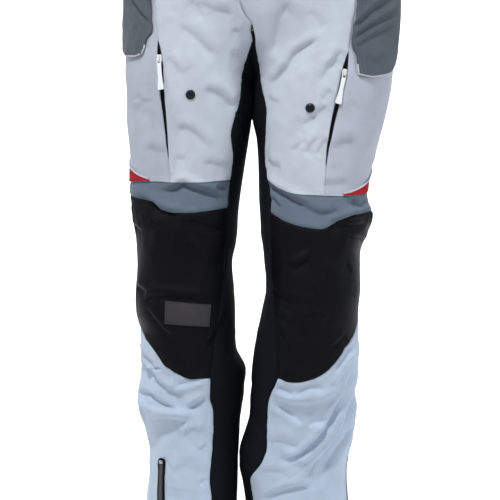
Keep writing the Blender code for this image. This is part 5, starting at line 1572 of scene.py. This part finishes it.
def sewTape(leg, kind, middle, z, half, columns, lift, edge=0.0):
    # cloth tape along a zip, reaching half metres to each side of its middle
    turns = (half * turnPerMetre(leg, middle, z))[:, None] * np.linspace(-1, 1, columns)
    points, _ = drape(leg, middle[:, None] + turns, z[:, None], lift)
    tapePiece = gridPiece(f"{leg.name}{kind}ZipTape", points, flip=leg.side < 0)
    thicken(tapePiece, zips["tapeWall"], edge)
    finishPiece(tapePiece, "tape", [f"{leg.name}_{kind.lower()}_zip_tape"])
    return tapePiece


def layTeeth(leg, name, tooth, middle, z, outwardBy, lift, shift=0.0):
    # teeth along a line beside the zip's middle, the two sides leaning opposite ways
    side = 1 if np.mean(outwardBy) > 0 else -1
    line, lineOut = drape(leg, middle + outwardBy * turnPerMetre(leg, middle, z), z, lift)
    rows = resample(line, zips["toothPitch"])
    if shift:
        rows = np.clip(rows + shift * (rows[1] - rows[0]), 0, len(line) - 1.001)
    outs = pickRows(lineOut, rows)
    ups = alongCloth(pickRows(np.gradient(line, axis=0), rows), outs)
    lean = unit(ups + np.cross(outs, ups) * zips["toothLean"] * side)
    centres, beside = pickRows(line, rows), np.cross(outs, lean)
    return placedMany(patterns[tooth], leg.name + name, centres, beside, outs, lean)


def makeThighZip(leg):
    opening = thighZip[leg.name]
    past = thighTape["past"]
    z = np.linspace(opening["bottom"] - past, opening["top"] + past, thighTape["rows"])
    middle = leg.edges["zipMiddle"](z)
    half = zipOpening(leg, z) / 2
    tapePiece = sewTape(leg, "Thigh", middle, z, half + thighTape["margin"], thighTape["columns"],
                        -thighTape["sunk"])
    run = (half - thighTape["toothIn"]).clip(thighTape["toothLeast"], None)
    for side, word in ((-1, "Front"), (1, "Pocket")):
        teeth = layTeeth(leg, f"ThighZip{word}Teeth", "tooth", middle, z, side * run,
                         thighTape["toothUp"] - thighTape["sunk"])
        finishPiece(teeth, "coil")


def makeHemZip(leg):
    z = np.linspace(cut["hem"] + hemTape["foot"], hemTape["top"], hemTape["rows"])
    middle = leg.edges["zipMiddle"](z)
    if leg is leftLeg:
        middle = mix(middle, cut["outerSeam"], hemTape["leftShare"])
    intoEnd = ((z - (hemTape["top"] - hemTape["roundEnd"])) / hemTape["roundEnd"]).clip(0, 1)
    half = hemTape["width"] / 2 * np.sqrt(np.clip(1 - intoEnd ** 2, hemTape["narrowest"], 1))
    share = np.linspace(-1, 1, hemTape["columns"])
    lift = hemTape["lift"] + hemTape["rib"] * bell((np.abs(share) - hemTape["ribAt"]) / hemTape["ribWidth"])
    tapePiece = sewTape(leg, "Hem", middle, z, half, hemTape["columns"], lift, hemTape["edge"])
    stopHeight = hemTape["top"] - hemTape["stopDrop"]
    toothed = z < stopHeight
    for side, word in ((-1, "Front"), (1, "Side")):
        teeth = layTeeth(leg, f"HemZip{word}Teeth", "hemTooth", middle[toothed], z[toothed],
                         side * hemTape["toothOut"], hemTape["toothLift"], 0.5 if side > 0 else 0.0)
        finishPiece(teeth, "hemCoil")
    here, out = drape(leg, np.interp(stopHeight, z, middle), stopHeight, hemTape["stopLift"])
    stop = placed(patterns["stop"], leg.name + "HemZipStop", standing(here, out))
    finishPiece(stop, "nickel", [f"{leg.name}_hem_zip_stop"])


def hangPull(leg, kind):
    node = f"{leg.name}_{kind}_zip_pull"
    body = f"{leg.name}_{kind}_pull"
    joint = next(joint for joint in frame["joints"] if joint["child"] == body)
    place = hingePlace(leg, joint, frame["nodes"][node])
    look = pullLook[kind]
    slider = placed(patterns["slider"], f"{leg.name}{kind.capitalize()}ZipSlider", place)
    finishPiece(slider, look["slider"], [f"{leg.name}_{kind}_zip_slider"])
    tab = placed(patterns[kind + "Pull"], f"{leg.name}{kind.capitalize()}ZipPull", place)
    finishPiece(tab, look["pull"], [node], body=body)


def setDisc(kind, name, here, out):
    # the pattern faces backwards, so it is turned round
    return placed(patterns[kind], name, standing(here, out) @ Matrix.Rotation(math.radians(180), 4, "Z"))


def setSnap(leg):
    distance, height = snaps[leg.name]
    here, out = drape(leg, angleAt(leg, distance, height), height, snaps["lift"])
    finishPiece(setDisc("snap", leg.name + "ThighSnap", here, out), "snap",
                [f"{leg.name}_thigh_snap"])


def setButton():
    z = np.array(cut["waistbandBottom"] / 2)
    turn = bandTurn(waistband["button"], z)
    out = bandOut(turn, z)
    here = bandPoint(turn, z) + out * waistband["buttonLift"]
    finishPiece(setDisc("button", "waistButton", here, out), "nickel", ["waist_button"])


for leg in legs:
    makeThighZip(leg)
    makeHemZip(leg)
    hangPull(leg, "thigh")
    hangPull(leg, "hem")
    setSnap(leg)
setButton()
print("zips, snaps and button set")


# Stitches

flyStitches = ((0.0165, -0.047), (0.0165, -0.100), (0.0160, -0.150), (0.0110, -0.185), (0.0010, -0.206),
               (-0.0120, -0.220), (-0.0165, -0.226))


def stitchSeam(leg, part, seam, offset):
    # beside an upright edge, or along a cross line, as far as the panel reaches
    low, high, foot, top = panelBounds(leg, part)
    if seam in leg.edges:
        z = np.linspace(cut["hem"], cut["waistbandBottom"], 900)
        angle = leg.edges[seam](z)
        inside = (z > foot(angle) + stitching["shortBy"]) & (z < top(angle) - stitching["shortBy"])
        z, angle = z[inside], angle[inside]
        angle = angle + offset * mm * turnPerMetre(leg, angle, z)
    else:
        angle = np.linspace(-90, 360, 1800)
        z = leg.lines[seam](angle) + offset * mm
        inside = (angle > low(z) + stitching["shortByTurn"]) & (angle < high(z) - stitching["shortByTurn"])
        z, angle = z[inside], angle[inside]
    stitchLine(leg, part, drape(leg, angle, z)[0], panels[part]["thread"])


def stitchFlap(leg):
    angle, z = leg.flapSpots
    margin = stitching["flapMargins"][0]
    rows = [(slice(inner, None), inner) for inner in stitching["flapMargins"]]
    rows.append((margin, slice(margin, None)))
    for row in rows:
        stitchLine(leg, "hipFlap", drape(leg, angle[row], z[row], flap["lift"])[0], "grey")


def stitchPatch(leg):
    margin = stitching["patchMargin"]
    middle = slice(margin, -margin)
    for row in ((margin, middle), (-margin - 1, middle), (middle, margin), (middle, -margin - 1)):
        stitchLine(leg, "kneePatch", leg.patchPoints[row], "dark")


def stitchFly():
    # the fly's curved row on the overlapping front
    distance, z = smoothPath(flyStitches, 120).T
    stitchLine(leftLeg, "frontThigh", drape(leftLeg, angleAt(leftLeg, distance, z), z)[0], "light")


def sewStitches(leg, thread):
    rows = leg.stitches[thread]
    centres, ahead, outs = [np.concatenate([row[part] for row in rows]) for part in range(3)]
    outs = unit(outs)
    ahead = alongCloth(ahead, outs)
    name = f"{leg.name}{thread.capitalize()}Stitches"
    sewn = placedMany(patterns["stitch"], name, centres, ahead, outs, np.cross(ahead, outs))
    finishPiece(sewn, thread + "Thread")
    print(name, len(centres), "stitches")


for leg in legs:
    for part, piece in panels.items():
        for seam, offset in piece["stitched"]:
            stitchSeam(leg, part, seam, offset)
    stitchFlap(leg)
stitchPatch(rightLeg)
stitchFly()
for leg in legs:
    for thread, slotName in (("light", "light_cloth"), ("dark", "knee_cloth"), ("grey", "mid_grey_cloth")):
        sewStitches(leg, thread)

for pattern in patterns.values():
    bpy.data.objects.remove(pattern, do_unlink=True)
